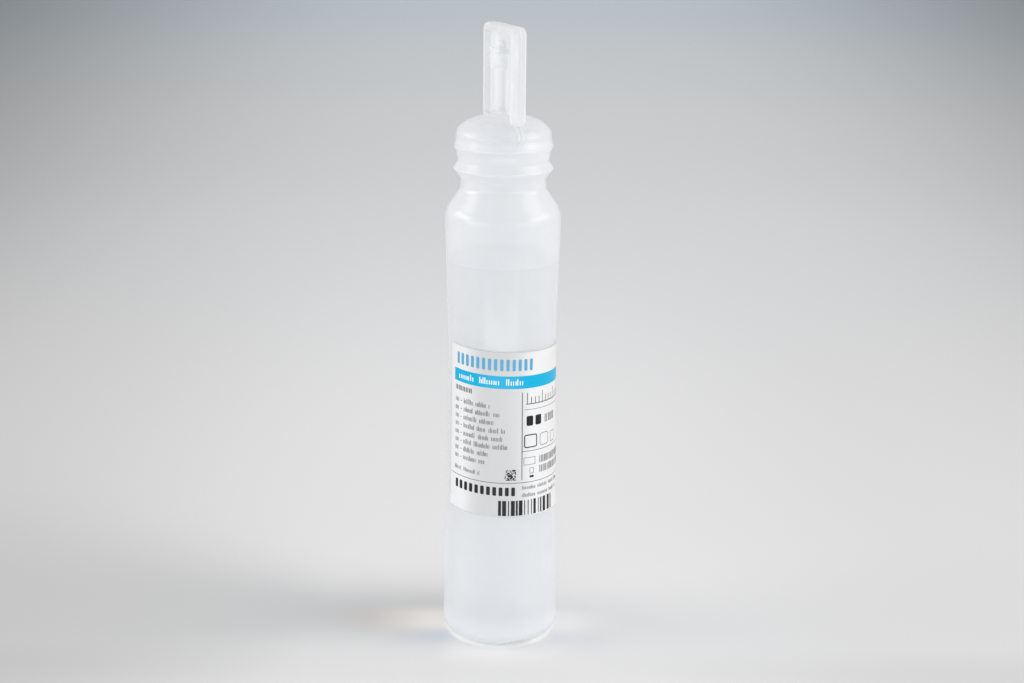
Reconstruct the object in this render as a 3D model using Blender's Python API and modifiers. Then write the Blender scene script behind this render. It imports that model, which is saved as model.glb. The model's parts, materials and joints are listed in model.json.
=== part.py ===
"""A squeezable saline bottle: one blown and sealed moulding with a winged tab that twists off its nozzle.

The bottle stands on +Z at the origin. The middle of the label faces -Y, and so does one edge of the tab.
The two mould halves met on the plane X = 0, which leaves a seam across the base and over the dome.
"""

import math

import bmesh
import bpy
from mathutils import Matrix, Vector

MM = 0.001

# The barrel, measured outside.
BASE_RADIUS = 18.4 * MM
WAIST_RADIUS = 16.77 * MM
WAIST_HEIGHT = 95.0 * MM
SHOULDER_RADIUS = 17.75 * MM
SHOULDER_HEIGHT = 134.5 * MM
LOWER_FLARE = 1.6
UPPER_FLARE = 1.25
WALL = 0.7 * MM

# The base: a flat foot round a pushed-up middle, crossed by the groove where the mould pinched the tube.
HEEL_RADIUS = 6.0 * MM
FOOT_INNER_RADIUS = 9.0 * MM
FOOT_ROUND = 0.8 * MM
PUSH_UP = 2.4 * MM
PUSH_UP_CROWN = 0.5 * MM
PUSH_UP_SLOPE = 2.2 * MM
PUSH_UP_ROUND = 2.0 * MM
GROOVE_WIDTH = 9.6 * MM
GROOVE_DEPTH = 2.0 * MM
WELD_WIDTH = 0.9 * MM
WELD_DROP = 0.8 * MM

# The shoulder, the neck with its two rings, and the dome, each height from the one below it.
SHOULDER_EDGE = 3.95 * MM
SHOULDER_ROUND = 7.0 * MM
SHOULDER_SLOPE = 6.95 * MM
NECK_RADIUS = 13.0 * MM
NECK_HEIGHT = 3.2 * MM
NECK_ROUND = 3.0 * MM
RING_STEP = 2.35 * MM
RING_RISE = 2.8 * MM
RING_FALL = 2.35 * MM
COLLAR_STEP = 0.8 * MM
COLLAR_HEIGHT = 2.75 * MM
COLLAR_FLARE = 0.45 * MM
UPPER_RING_STEP = 1.35 * MM
UPPER_RING_RISE = 1.6 * MM
UPPER_RING_FALL = 2.7 * MM
NECK_EDGE_ROUND = 0.45 * MM
DOME_STEP = 0.7 * MM
DOME_EDGE = 0.6 * MM
DOME_RISE = 6.5 * MM

# The seam over the dome.
SEAM_WIDTH = 2.0 * MM
SEAM_HEIGHT = 0.25 * MM
SEAM_END = 0.3 * MM

# The nozzle and its tear ring, as walls round the bore.
BORE_RADIUS = 1.5 * MM
NOZZLE_WALL = 1.4 * MM
NOZZLE_FLARE = 1.3 * MM
NOZZLE_HEIGHT = 1.0 * MM
NOZZLE_FOOT = 0.4 * MM
TEAR_RING_WALL = 0.8 * MM
TEAR_RING_HEIGHT = 0.5 * MM
TEAR_NOTCH = 0.2 * MM
SEAT_GAP = 0.2 * MM
SMALL_ROUND = 0.3 * MM

# The tab: a rim and a web, and a hollow stem with an oval head.
TAB_WIDTH = 25.6 * MM
TAB_THICKNESS = 4.6 * MM
TAB_CORNER = 2.6 * MM
TAB_EDGE_ROUND = 0.8 * MM
TAB_CLEARANCE = 0.55 * MM
WING_FOOT_ROUND = 1.4 * MM
RIM_WIDTH = 2.1 * MM
WEB_THICKNESS = 1.3 * MM
STEM_WALL = 1.5 * MM
STEM_LENGTH = 11.5 * MM
HEAD_TAPER = 0.9 * MM
HEAD_STEP = 1.3 * MM
HEAD_WIDTH = 10.6 * MM
HEAD_DRUM = 3.3 * MM
HEAD_GROOVE = 0.5 * MM
HEAD_BAND = 1.9 * MM
HEAD_CAP_RADIUS = 2.6 * MM
HEAD_CAP_RISE = 2.4 * MM
HEAD_ROUND = 0.6 * MM
CHAMBER_WALL = 1.0 * MM
TAB_OVER_HEAD = 4.25 * MM

# The contents and the label. Loose pieces keep a film of air to the wall.
AIR_FILM = 0.3 * MM
HEADSPACE = 11.0 * MM
LABEL_BOTTOM = 44.7 * MM
LABEL_HEIGHT = 52.9 * MM
LABEL_SPAN = math.radians(168)
LABEL_SLANT = 2.0 * MM
LABEL_THICKNESS = 0.15 * MM

# How finely round shapes are cut.
TURN_STEPS = 40
TAB_TURN_STEPS = 24
LABEL_STEPS = 24
BARREL_STEPS = 11
DOME_STEPS = 6
SEAM_STEPS = 20
WING_STEPS = 16
ARC_STEP = math.radians(32)
LEAST_FILLET = 0.1 * MM
WELD_DISTANCE = 0.01 * MM
CUT_OVERSHOOT = 1.0 * MM

# Heights and radii that follow from those sizes.
SHOULDER_TOP = SHOULDER_HEIGHT + SHOULDER_EDGE
NECK_BOTTOM = SHOULDER_TOP + SHOULDER_SLOPE
NECK_TOP = NECK_BOTTOM + NECK_HEIGHT
RING_TOP = NECK_TOP + RING_RISE
COLLAR_BOTTOM = RING_TOP + RING_FALL
COLLAR_TOP = COLLAR_BOTTOM + COLLAR_HEIGHT
COLLAR_RADIUS = NECK_RADIUS + COLLAR_STEP
UPPER_RING_TOP = COLLAR_TOP + UPPER_RING_RISE
DOME_RADIUS = COLLAR_RADIUS + DOME_STEP
DOME_BOTTOM = UPPER_RING_TOP + UPPER_RING_FALL + DOME_EDGE
DOME_TOP = DOME_BOTTOM + DOME_RISE
NOZZLE_RADIUS = BORE_RADIUS + NOZZLE_WALL
NOZZLE_ROOT_RADIUS = NOZZLE_RADIUS + NOZZLE_FLARE
NOZZLE_TOP = DOME_TOP + NOZZLE_HEIGHT
TEAR_RING_BOTTOM = NOZZLE_TOP + SEAT_GAP
STEM_BOTTOM = TEAR_RING_BOTTOM + TEAR_RING_HEIGHT + SEAT_GAP
STEM_RADIUS = BORE_RADIUS + STEM_WALL
STEM_TOP = STEM_BOTTOM + STEM_LENGTH
HEAD_RADIUS = STEM_RADIUS + HEAD_STEP
HEAD_BOTTOM = STEM_TOP + HEAD_TAPER
HEAD_GROOVE_HEIGHT = HEAD_BOTTOM + HEAD_DRUM
HEAD_TOP = HEAD_GROOVE_HEIGHT + HEAD_BAND
TAB_TOP = HEAD_TOP + HEAD_CAP_RISE + TAB_OVER_HEAD
SALINE_LEVEL = SHOULDER_HEIGHT - HEADSPACE


def clear_scene():
    """Removes every object, so that the script can be run again."""
    for old in list(bpy.data.objects):
        bpy.data.objects.remove(old, do_unlink=True)
    for old in list(bpy.data.collections):
        bpy.data.collections.remove(old)


def new_collection(name):
    """Makes a collection and links it to the scene."""
    collection = bpy.data.collections.new(name)
    bpy.context.scene.collection.children.link(collection)
    return collection


def plastic(name, colour, roughness, alpha=1.0):
    """A Principled material of one colour."""
    material = bpy.data.materials.new(name)
    material.use_nodes = True
    shader = material.node_tree.nodes["Principled BSDF"]
    shader.inputs["Base Color"].default_value = (*colour, 1.0)
    shader.inputs["Roughness"].default_value = roughness
    shader.inputs["Metallic"].default_value = 0.0
    shader.inputs["Alpha"].default_value = alpha
    return material


# Outlines. A corner is (radius, height, fillet), and an outline runs from the top down.


def barrel_radius(height, inset=0.0):
    """Outside radius of the waisted barrel at a height, less an inset."""
    if height > WAIST_HEIGHT:
        reach = (height - WAIST_HEIGHT) / (SHOULDER_HEIGHT - WAIST_HEIGHT)
        return WAIST_RADIUS + (SHOULDER_RADIUS - WAIST_RADIUS) * reach**UPPER_FLARE - inset
    reach = (WAIST_HEIGHT - height) / (WAIST_HEIGHT - HEEL_RADIUS)
    return WAIST_RADIUS + (BASE_RADIUS - WAIST_RADIUS) * reach**LOWER_FLARE - inset


def barrel_corners(top, bottom, inset=0.0):
    """The barrel's outline between two heights."""
    heights = [top + (bottom - top) * step / BARREL_STEPS for step in range(BARREL_STEPS + 1)]
    return [(barrel_radius(height, inset), height, 0.0) for height in heights]


def dome_height(radius, inset=0.0):
    """Height of the dome, a flat ellipsoid, at a distance from the axis."""
    share = radius / (DOME_RADIUS - inset)
    return DOME_BOTTOM + (DOME_RISE - inset) * math.sqrt(max(0.0, 1.0 - share * share))


def dome_corners(start_radius, inset=0.0):
    """The dome's outline from a radius near the axis out to its rim."""
    full = DOME_RADIUS - inset
    first = math.asin(start_radius / full)
    angles = [first + (math.pi / 2 - first) * step / DOME_STEPS for step in range(DOME_STEPS + 1)]
    rise = DOME_RISE - inset
    return [(full * math.sin(angle), DOME_BOTTOM + rise * math.cos(angle), 0.0) for angle in angles]


def neck_corners():
    """Rings, collar, neck and shoulder, between the dome and the barrel."""
    return [
        (DOME_RADIUS, DOME_BOTTOM - DOME_EDGE, NECK_EDGE_ROUND),
        (COLLAR_RADIUS + UPPER_RING_STEP, UPPER_RING_TOP, NECK_EDGE_ROUND),
        (COLLAR_RADIUS + COLLAR_FLARE, COLLAR_TOP, NECK_EDGE_ROUND),
        (COLLAR_RADIUS, COLLAR_BOTTOM, NECK_EDGE_ROUND),
        (NECK_RADIUS + RING_STEP, RING_TOP, NECK_EDGE_ROUND),
        (NECK_RADIUS, NECK_TOP, NECK_EDGE_ROUND),
        (NECK_RADIUS, NECK_BOTTOM, NECK_ROUND),
    ]


def shoulder_corner():
    """The rounded corner at the top of the barrel."""
    return (SHOULDER_RADIUS, SHOULDER_TOP, SHOULDER_ROUND)


def base_corners():
    """Heel, flat foot and pushed-up middle."""
    return [
        (barrel_radius(HEEL_RADIUS), 0.0, HEEL_RADIUS),
        (FOOT_INNER_RADIUS, 0.0, FOOT_ROUND),
        (FOOT_INNER_RADIUS - PUSH_UP_SLOPE, PUSH_UP - PUSH_UP_CROWN, PUSH_UP_ROUND),
        (0.0, PUSH_UP, 0.0),
    ]


def beyond(end, neighbour):
    """A point past an outline's end: mirrored where the outline meets the axis, and straight on elsewhere."""
    if end.x:
        return 2 * end - neighbour
    return Vector((-neighbour.x, neighbour.y))


def inset_corners(corners, inset):
    """Moves a line of corners towards the inside of a piece. A fillet that bulges out gets tighter."""
    points = [Vector(corner[:2]) for corner in corners]
    points = [beyond(points[0], points[1])] + points + [beyond(points[-1], points[-2])]
    moved = []
    for before, here, after, corner in zip(points, points[1:], points[2:], corners):
        arriving = (here - before).normalized()
        leaving = (after - here).normalized()
        inward = [Vector((way.y, -way.x)) for way in (arriving, leaving)]
        middle = (inward[0] + inward[1]).normalized()
        place = here + middle * (inset / middle.dot(inward[0]))
        turn = arriving.cross(leaving)
        fillet = max(corner[2] + math.copysign(inset, turn), LEAST_FILLET) if corner[2] else 0.0
        moved.append((max(place.x, 0.0), place.y, fillet))
    return moved


def filleted(corners):
    """Turns corners into points, with an arc at each corner that has a fillet."""
    line = []
    for index, (radius, height, fillet) in enumerate(corners):
        here = Vector((radius, height))
        if not fillet or index in (0, len(corners) - 1):
            line.append(here)
            continue
        to_before = Vector(corners[index - 1][:2]) - here
        to_after = Vector(corners[index + 1][:2]) - here
        half = to_before.angle(to_after) / 2
        room = [
            side.length * (0.49 if corners[beside][2] else 0.99)
            for side, beside in ((to_before, index - 1), (to_after, index + 1))
        ]
        tangent = min(fillet / math.tan(half), *room)
        bisector = (to_before.normalized() + to_after.normalized()).normalized()
        centre = here + bisector * (tangent / math.cos(half))
        start = here + to_before.normalized() * tangent - centre
        sweep = (here + to_after.normalized() * tangent - centre).angle_signed(start)
        steps = max(1, math.ceil(abs(sweep) / ARC_STEP))
        line += [centre + Matrix.Rotation(sweep * step / steps, 2) @ start for step in range(steps + 1)]
    return line


def turned(name, line, collection, steps=TURN_STEPS):
    """Turns an outline, given from the top down, about the Z axis into a closed solid."""
    mesh = bpy.data.meshes.new(name)
    edges = [(index, index + 1) for index in range(len(line) - 1)]
    mesh.from_pydata([(point[0], 0.0, point[1]) for point in line], edges, [])
    solid = bpy.data.objects.new(name, mesh)
    collection.objects.link(solid)
    screw = solid.modifiers.new("turn", "SCREW")
    screw.steps = screw.render_steps = steps
    screw.use_merge_vertices = True
    screw.merge_threshold = WELD_DISTANCE
    screw.use_smooth_shade = True
    return solid


def as_mesh(curve, name, collection):
    """Replaces a curve object with a mesh object whose caps are welded on."""
    bpy.context.view_layer.update()
    evaluated = curve.evaluated_get(bpy.context.evaluated_depsgraph_get())
    mesh = bpy.data.meshes.new_from_object(evaluated)
    welded = bmesh.new()
    welded.from_mesh(mesh)
    bmesh.ops.remove_doubles(welded, verts=welded.verts, dist=WELD_DISTANCE)
    bmesh.ops.recalc_face_normals(welded, faces=welded.faces)
    welded.to_mesh(mesh)
    welded.free()
    place = curve.matrix_world.copy()
    bpy.data.objects.remove(curve, do_unlink=True)
    made = bpy.data.objects.new(name, mesh)
    made.matrix_world = place
    collection.objects.link(made)
    return made


def flat_outline(name, points, half_thickness, collection, edge_round=0.0):
    """A flat piece with an outline in the YZ plane, its thickness along X and its long edges rounded."""
    curve = bpy.data.curves.new(name, "CURVE")
    curve.dimensions = "2D"
    curve.fill_mode = "BOTH"
    curve.extrude = half_thickness - edge_round
    curve.bevel_depth = edge_round
    curve.offset = -edge_round
    curve.bevel_resolution = 2
    spline = curve.splines.new("POLY")
    spline.points.add(len(points) - 1)
    for spot, point in zip(spline.points, points):
        spot.co = (point[0], point[1], 0.0, 1.0)
    spline.use_cyclic_u = True
    flat = bpy.data.objects.new(name, curve)
    collection.objects.link(flat)
    flat.matrix_world = Matrix(((0, 0, 1, 0), (1, 0, 0, 0), (0, 1, 0, 0), (0, 0, 0, 1)))
    return as_mesh(flat, name, collection)


def rod_along_y(name, radius, centre_height, length, collection):
    """A round rod that lies along Y over the origin."""
    mesh = bpy.data.meshes.new(name)
    shape = bmesh.new()
    bmesh.ops.create_cone(
        shape, cap_ends=True, segments=TURN_STEPS, radius1=radius, radius2=radius, depth=length
    )
    bmesh.ops.rotate(shape, verts=shape.verts, matrix=Matrix.Rotation(math.pi / 2, 3, "X"))
    shape.to_mesh(mesh)
    shape.free()
    rod = bpy.data.objects.new(name, mesh)
    rod.location = (0.0, 0.0, centre_height)
    collection.objects.link(rod)
    return rod


def box(name, size, centre, collection):
    """A plain box."""
    mesh = bpy.data.meshes.new(name)
    shape = bmesh.new()
    bmesh.ops.create_cube(shape, size=1.0, matrix=Matrix.Diagonal((*size, 1.0)))
    shape.to_mesh(mesh)
    shape.free()
    made = bpy.data.objects.new(name, mesh)
    made.location = centre
    collection.objects.link(made)
    return made


def combine(target, tool, operation):
    """Adds a Boolean and keeps its tool as a wire that isn't part of the bottle."""
    step = target.modifiers.new(tool.name, "BOOLEAN")
    step.operation = operation
    step.object = tool
    step.solver = "EXACT"
    tool.hide_render = True
    tool.display_type = "WIRE"


def shade(piece, material):
    """Gives a finished piece its material."""
    if not piece.data.materials:
        piece.data.materials.append(material)


# Pieces


def inner_corners(inset, top=None):
    """The inside of the bottle, from the dome's middle or from a level surface, down to the base."""
    above_heel = (barrel_radius(2 * HEEL_RADIUS), 2 * HEEL_RADIUS, 0.0)
    base = inset_corners([above_heel] + base_corners(), inset)[1:]
    if top is not None:
        return barrel_corners(top, HEEL_RADIUS, inset) + base
    upper = neck_corners() + [shoulder_corner()] + barrel_corners(SHOULDER_HEIGHT, HEEL_RADIUS)
    return dome_corners(BORE_RADIUS, inset) + inset_corners(upper, inset) + base


def groove_rod(name, inset, collection):
    """The rod that shapes the pinched groove across the base, as seen from outside or from inside."""
    radius = GROOVE_WIDTH**2 / (8 * GROOVE_DEPTH) + GROOVE_DEPTH / 2
    return rod_along_y(name, radius + inset, GROOVE_DEPTH - radius, 4 * BASE_RADIUS, collection)


def make_bottle(pieces, cutters):
    """The blown shell from base to nozzle: one moulding, open only at the bore."""
    nozzle = [
        (0.0, NOZZLE_TOP, 0.0),
        (NOZZLE_RADIUS, NOZZLE_TOP, SMALL_ROUND),
        (NOZZLE_RADIUS, dome_height(NOZZLE_RADIUS) + NOZZLE_FOOT, SMALL_ROUND),
    ]
    outside = nozzle + dome_corners(NOZZLE_ROOT_RADIUS) + neck_corners() + [shoulder_corner()]
    outside += barrel_corners(SHOULDER_HEIGHT, HEEL_RADIUS) + base_corners()
    bottle = turned("bottle", filleted(outside), pieces)
    combine(bottle, groove_rod("base_groove", 0.0, cutters), "DIFFERENCE")
    weld_top = PUSH_UP + WALL / 2
    weld_bottom = GROOVE_DEPTH - WELD_DROP
    weld_length = 2 * (BASE_RADIUS - HEEL_RADIUS / 2)
    weld_size = (WELD_WIDTH, weld_length, weld_top - weld_bottom)
    weld = box("base_weld", weld_size, (0.0, 0.0, (weld_top + weld_bottom) / 2), cutters)
    combine(bottle, weld, "UNION")
    reach = DOME_RADIUS - SEAM_END
    across = [reach * (2 * step / SEAM_STEPS - 1) for step in range(SEAM_STEPS + 1)]
    ridge = [(y, dome_height(abs(y)) + SEAM_HEIGHT) for y in across]
    ridge += [(y, dome_height(abs(y)) - WALL / 2) for y in reversed(across)]
    combine(bottle, flat_outline("dome_seam", ridge, SEAM_WIDTH / 2, cutters), "UNION")
    bore = [(0.0, NOZZLE_TOP + CUT_OVERSHOOT, 0.0), (BORE_RADIUS, NOZZLE_TOP + CUT_OVERSHOOT, 0.0)]
    cavity = turned("bottle_cavity", filleted(bore + inner_corners(WALL)), cutters)
    combine(cavity, groove_rod("cavity_groove", WALL, cutters), "DIFFERENCE")
    combine(bottle, cavity, "DIFFERENCE")
    return bottle


def make_saline(pieces, cutters):
    """The fill, a film of air clear of the wall, with a level top."""
    inset = WALL + AIR_FILM
    line = filleted([(0.0, SALINE_LEVEL, 0.0)] + inner_corners(inset, SALINE_LEVEL))
    saline = turned("saline", line, pieces)
    combine(saline, groove_rod("saline_groove", inset, cutters), "DIFFERENCE")
    return saline


def make_label(pieces):
    """The wrapped label, a shell that follows the barrel and climbs a little towards its left edge."""
    outline = barrel_corners(LABEL_BOTTOM + LABEL_HEIGHT, LABEL_BOTTOM, -AIR_FILM)
    label = turned("label", [corner[:2] for corner in outline], pieces, LABEL_STEPS)
    wrap = label.modifiers["turn"]
    wrap.angle = LABEL_SPAN
    wrap.screw_offset = -LABEL_SLANT
    wrap.use_merge_vertices = False
    label.location.z = LABEL_SLANT / 2
    label.rotation_euler.z = -math.pi / 2 - LABEL_SPAN / 2
    film = label.modifiers.new("film", "SOLIDIFY")
    film.thickness = LABEL_THICKNESS
    film.offset = 1.0
    return label


def make_tear_ring(pieces):
    """The thin ring that joins nozzle and tab until the tab is twisted."""
    middle = TEAR_RING_BOTTOM + TEAR_RING_HEIGHT / 2
    top = TEAR_RING_BOTTOM + TEAR_RING_HEIGHT
    rim = BORE_RADIUS + TEAR_RING_WALL
    line = [
        (BORE_RADIUS, TEAR_RING_BOTTOM),
        (BORE_RADIUS, top),
        (rim, top),
        (rim - TEAR_NOTCH, middle),
        (rim, TEAR_RING_BOTTOM),
        (BORE_RADIUS, TEAR_RING_BOTTOM),
    ]
    return turned("tear_ring", line, pieces, TAB_TURN_STEPS)


def tab_plate_outline():
    """Outline of the wings in (Y, Z): straight sides and top, and a lower edge that follows the dome."""
    half = TAB_WIDTH / 2
    foot = half - WING_FOOT_ROUND / 2
    lower = [foot - 2 * foot * step / WING_STEPS for step in range(WING_STEPS + 1)]
    wing_foot = dome_height(half) + TAB_CLEARANCE + WING_FOOT_ROUND
    corners = [(-half, wing_foot, 0.0), (-half, TAB_TOP, TAB_CORNER), (half, TAB_TOP, TAB_CORNER)]
    corners += [(half, wing_foot, 0.0)]
    corners += [(y, dome_height(abs(y)) + TAB_CLEARANCE, 0.0) for y in lower]
    return filleted(corners)


def head_corners():
    """Outline of the stem's head: a low cap, a band, a groove, a drum and a taper back to the stem."""
    return [
        (0.0, HEAD_TOP + HEAD_CAP_RISE, 0.0),
        (HEAD_CAP_RADIUS, HEAD_TOP + HEAD_CAP_RISE, HEAD_CAP_RADIUS / 2),
        (HEAD_CAP_RADIUS, HEAD_TOP, SMALL_ROUND),
        (HEAD_RADIUS, HEAD_TOP, SMALL_ROUND),
        (HEAD_RADIUS, HEAD_GROOVE_HEIGHT + HEAD_GROOVE, 0.0),
        (HEAD_RADIUS - HEAD_GROOVE, HEAD_GROOVE_HEIGHT, 0.0),
        (HEAD_RADIUS, HEAD_GROOVE_HEIGHT - HEAD_GROOVE, 0.0),
        (HEAD_RADIUS, HEAD_BOTTOM, HEAD_ROUND),
        (STEM_RADIUS, STEM_TOP, 0.0),
        (0.0, STEM_TOP, 0.0),
    ]


def oval_head(name, corners, cutters):
    """Turns an outline of the head and stretches it along the tab's width."""
    head = turned(name, filleted(corners), cutters, TAB_TURN_STEPS)
    head.scale.y = HEAD_WIDTH / (2 * HEAD_RADIUS)
    return head


def pocket_outline():
    """Outline of the pocket inside the rim, in (Y, Z). It is open at the foot."""
    half = TAB_WIDTH / 2 - RIM_WIDTH
    top = TAB_TOP - RIM_WIDTH
    corner = TAB_CORNER - RIM_WIDTH / 2
    corners = [(half, DOME_BOTTOM, 0.0), (-half, DOME_BOTTOM, 0.0)]
    corners += [(-half, top, corner), (half, top, corner)]
    return filleted(corners + corners[:1])[:-1]


def make_tab(pieces, cutters):
    """The winged tab: a rim, a thin web with a pocket on each face, and a hollow stem with a head."""
    edge_round = min(TAB_EDGE_ROUND, 0.45 * TAB_THICKNESS)
    tab = flat_outline("twist_off_tab", tab_plate_outline(), TAB_THICKNESS / 2, pieces, edge_round)
    room = [
        (0.0, STEM_BOTTOM),
        (NOZZLE_RADIUS + SEAT_GAP, STEM_BOTTOM),
        (NOZZLE_ROOT_RADIUS + SEAT_GAP, DOME_TOP),
        (NOZZLE_ROOT_RADIUS + SEAT_GAP, DOME_BOTTOM),
        (0.0, DOME_BOTTOM),
    ]
    combine(tab, turned("nozzle_room", room, cutters, TAB_TURN_STEPS), "DIFFERENCE")
    for side, name in ((-1, "left_pocket"), (1, "right_pocket")):
        pocket = flat_outline(name, pocket_outline(), TAB_THICKNESS / 2, cutters)
        pocket.location.x = side * (TAB_THICKNESS + WEB_THICKNESS) / 2
        combine(tab, pocket, "DIFFERENCE")
    stem = [
        (0.0, HEAD_TOP, 0.0),
        (STEM_RADIUS, HEAD_TOP, 0.0),
        (STEM_RADIUS, STEM_BOTTOM, SMALL_ROUND),
        (0.0, STEM_BOTTOM, 0.0),
    ]
    combine(tab, turned("tab_stem", filleted(stem), cutters, TAB_TURN_STEPS), "UNION")
    combine(tab, oval_head("tab_head", head_corners(), cutters), "UNION")
    chamber = inset_corners(head_corners(), CHAMBER_WALL)
    combine(tab, oval_head("head_chamber", chamber, cutters), "DIFFERENCE")
    bore_bottom = STEM_BOTTOM - CUT_OVERSHOOT
    bore = [
        (0.0, HEAD_GROOVE_HEIGHT),
        (BORE_RADIUS, HEAD_GROOVE_HEIGHT),
        (BORE_RADIUS, bore_bottom),
        (0.0, bore_bottom),
    ]
    combine(tab, turned("stem_bore", bore, cutters, TAB_TURN_STEPS), "DIFFERENCE")
    return tab


def main():
    clear_scene()
    pieces = new_collection("saline_bottle")
    cutters = new_collection("cutters")
    milky = plastic("milky_polyethylene", (0.88, 0.91, 0.93), 0.35, 0.6)
    tab_milky = plastic("tab_polyethylene", (0.9, 0.93, 0.95), 0.3, 0.7)
    water = plastic("saline_solution", (0.8, 0.87, 0.92), 0.05, 0.5)
    film = plastic("label_film", (0.86, 0.87, 0.88), 0.25)
    shade(make_bottle(pieces, cutters), milky)
    shade(make_saline(pieces, cutters), water)
    shade(make_label(pieces), film)
    shade(make_tear_ring(pieces), tab_milky)
    shade(make_tab(pieces, cutters), tab_milky)


main()
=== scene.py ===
"""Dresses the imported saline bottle: a milky blown shell, the clear fill, a printed label and a twist-off tab.

The bottle stands on +Z at the origin. The middle of the label and one edge of the tab face -Y.
Sizes repeat the part's own, in metres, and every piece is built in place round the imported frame.
"""

import json
import math
import random

import bmesh
import bpy
from mathutils import Matrix, Vector

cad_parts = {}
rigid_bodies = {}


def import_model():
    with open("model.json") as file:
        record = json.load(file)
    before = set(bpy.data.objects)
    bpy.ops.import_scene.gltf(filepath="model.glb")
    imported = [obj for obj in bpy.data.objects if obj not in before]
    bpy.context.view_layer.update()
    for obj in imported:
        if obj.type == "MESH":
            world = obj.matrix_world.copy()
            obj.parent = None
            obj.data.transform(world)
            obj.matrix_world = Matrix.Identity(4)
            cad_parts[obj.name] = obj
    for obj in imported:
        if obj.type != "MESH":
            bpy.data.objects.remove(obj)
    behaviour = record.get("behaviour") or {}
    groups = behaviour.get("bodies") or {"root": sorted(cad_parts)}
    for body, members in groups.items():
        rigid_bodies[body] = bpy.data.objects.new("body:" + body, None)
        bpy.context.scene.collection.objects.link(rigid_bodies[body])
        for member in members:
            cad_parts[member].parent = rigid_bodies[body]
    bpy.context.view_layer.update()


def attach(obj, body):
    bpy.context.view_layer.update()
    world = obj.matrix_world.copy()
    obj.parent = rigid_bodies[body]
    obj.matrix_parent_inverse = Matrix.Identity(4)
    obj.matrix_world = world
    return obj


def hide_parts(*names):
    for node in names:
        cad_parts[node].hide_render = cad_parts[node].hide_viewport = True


for leftover in list(bpy.data.objects):
    bpy.data.objects.remove(leftover, do_unlink=True)
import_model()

bl_info = {
    "name": "Saline bottle",
    "version": (1, 0, 0),
    "blender": (4, 5, 0),
    "location": "View3D > Sidebar > Bottle",
    "description": "Builds a blown and sealed saline bottle with its label, its fill and its twist-off tab",
    "category": "Add Mesh",
}

MM = 0.001

# Vertices nearer to each other than this become one.
WELD = 0.004 * MM

# How finely round shapes are cut.
SHELL_STEPS = 144
TAB_STEPS = 48
LABEL_STEPS = 96
BARREL_STEPS = 36
DOME_STEPS = 22
GROOVE_STEPS = 14
WING_STEPS = 20
CORNER_STEPS = 8
EDGE_STEPS = 6
MARK_STEPS = 3
FLOOR_STEPS = 128
SMOOTHINGS = 3
ARC_STEP = math.radians(9)

# An inset fillet stays at least this round, and an edge that turns by more than this angle looks sharp.
LEAST_FILLET = 0.15 * MM
CREASE = math.radians(50)

# Share of a side that a fillet may take, with another fillet at the side's far end and without.
SHARED_SIDE, WHOLE_SIDE = 0.49, 0.98

# The barrel's curve is measured from here up.
HEEL_HEIGHT = 6.0 * MM

# How far up the pinched groove is felt: a share of its depth, and a height more. Its mesh has extra cuts at
# these shares of half the weld's width and of half its own.
PINCH_SHARE, PINCH_MORE = 1.6, 1.6 * MM
WELD_CUTS = (1.0, 1.35)
GROOVE_CUTS = (1.15, 1.3)

# The seam over the dome, as (share of half its width, share of its height), and how high it starts softly.
SEAM_PROFILE = ((1.0, 0.0), (0.74, 1.0), (0.56, 1.0), (0.34, 0.3), (0.0, 0.3))
SEAM_START = 1.2 * MM

# The seam as the plastic shows it: inner and outer edge from its plane, and how far from the axis it starts.
RIDGE_INNER = (0.4 * MM, 0.6 * MM)
RIDGE_OUTER = (1.1 * MM, 0.8 * MM)
RIDGE_START = (8.0 * MM, 10.0 * MM)

# Share of the light that moulded plastic lets through, and how wet the shell and the tab look.
GLOW = 0.3
SHELL_COAT, TAB_COAT = 0.8, 0.1

# The share of each seat gap that the ring fills, and how far past the stem's foot the bore is cut.
RING_SPREAD = 0.7
OVERCUT = 1.0 * MM

# The print is laid out flat, for a barrel of this radius.
PRINT_RADIUS = 17.35 * MM

# Painted shade down the label, darker in its middle and lighter to its sides: its turn round the axis, and the
# lightness there and at its sides.
PAINTED_LABEL_SHADE = (math.radians(-25), 0.78, 1.03)


# Settings


def length(name, millimetres, description):
    """A size, kept in metres."""
    options = {"precision": 5, "unit": "LENGTH", "subtype": "DISTANCE"}
    return bpy.props.FloatProperty(
        name=name, description=description, default=millimetres * MM, **options
    )


def angle(name, degrees, description):
    """An angle, kept in radians."""
    return bpy.props.FloatProperty(
        name=name, description=description, default=math.radians(degrees), unit="ROTATION", subtype="ANGLE"
    )


def share(name, value, description):
    """A number from 0 to 1."""
    return bpy.props.FloatProperty(
        name=name, description=description, default=value, min=0.0, max=1.0, subtype="FACTOR"
    )


def number(name, value, description):
    """A plain number."""
    return bpy.props.FloatProperty(name=name, description=description, default=value, min=0.0)


def colour(name, value, description):
    """A linear colour."""
    return bpy.props.FloatVectorProperty(
        name=name, description=description, default=value, min=0.0, max=1.0, size=3, subtype="COLOR"
    )


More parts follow.
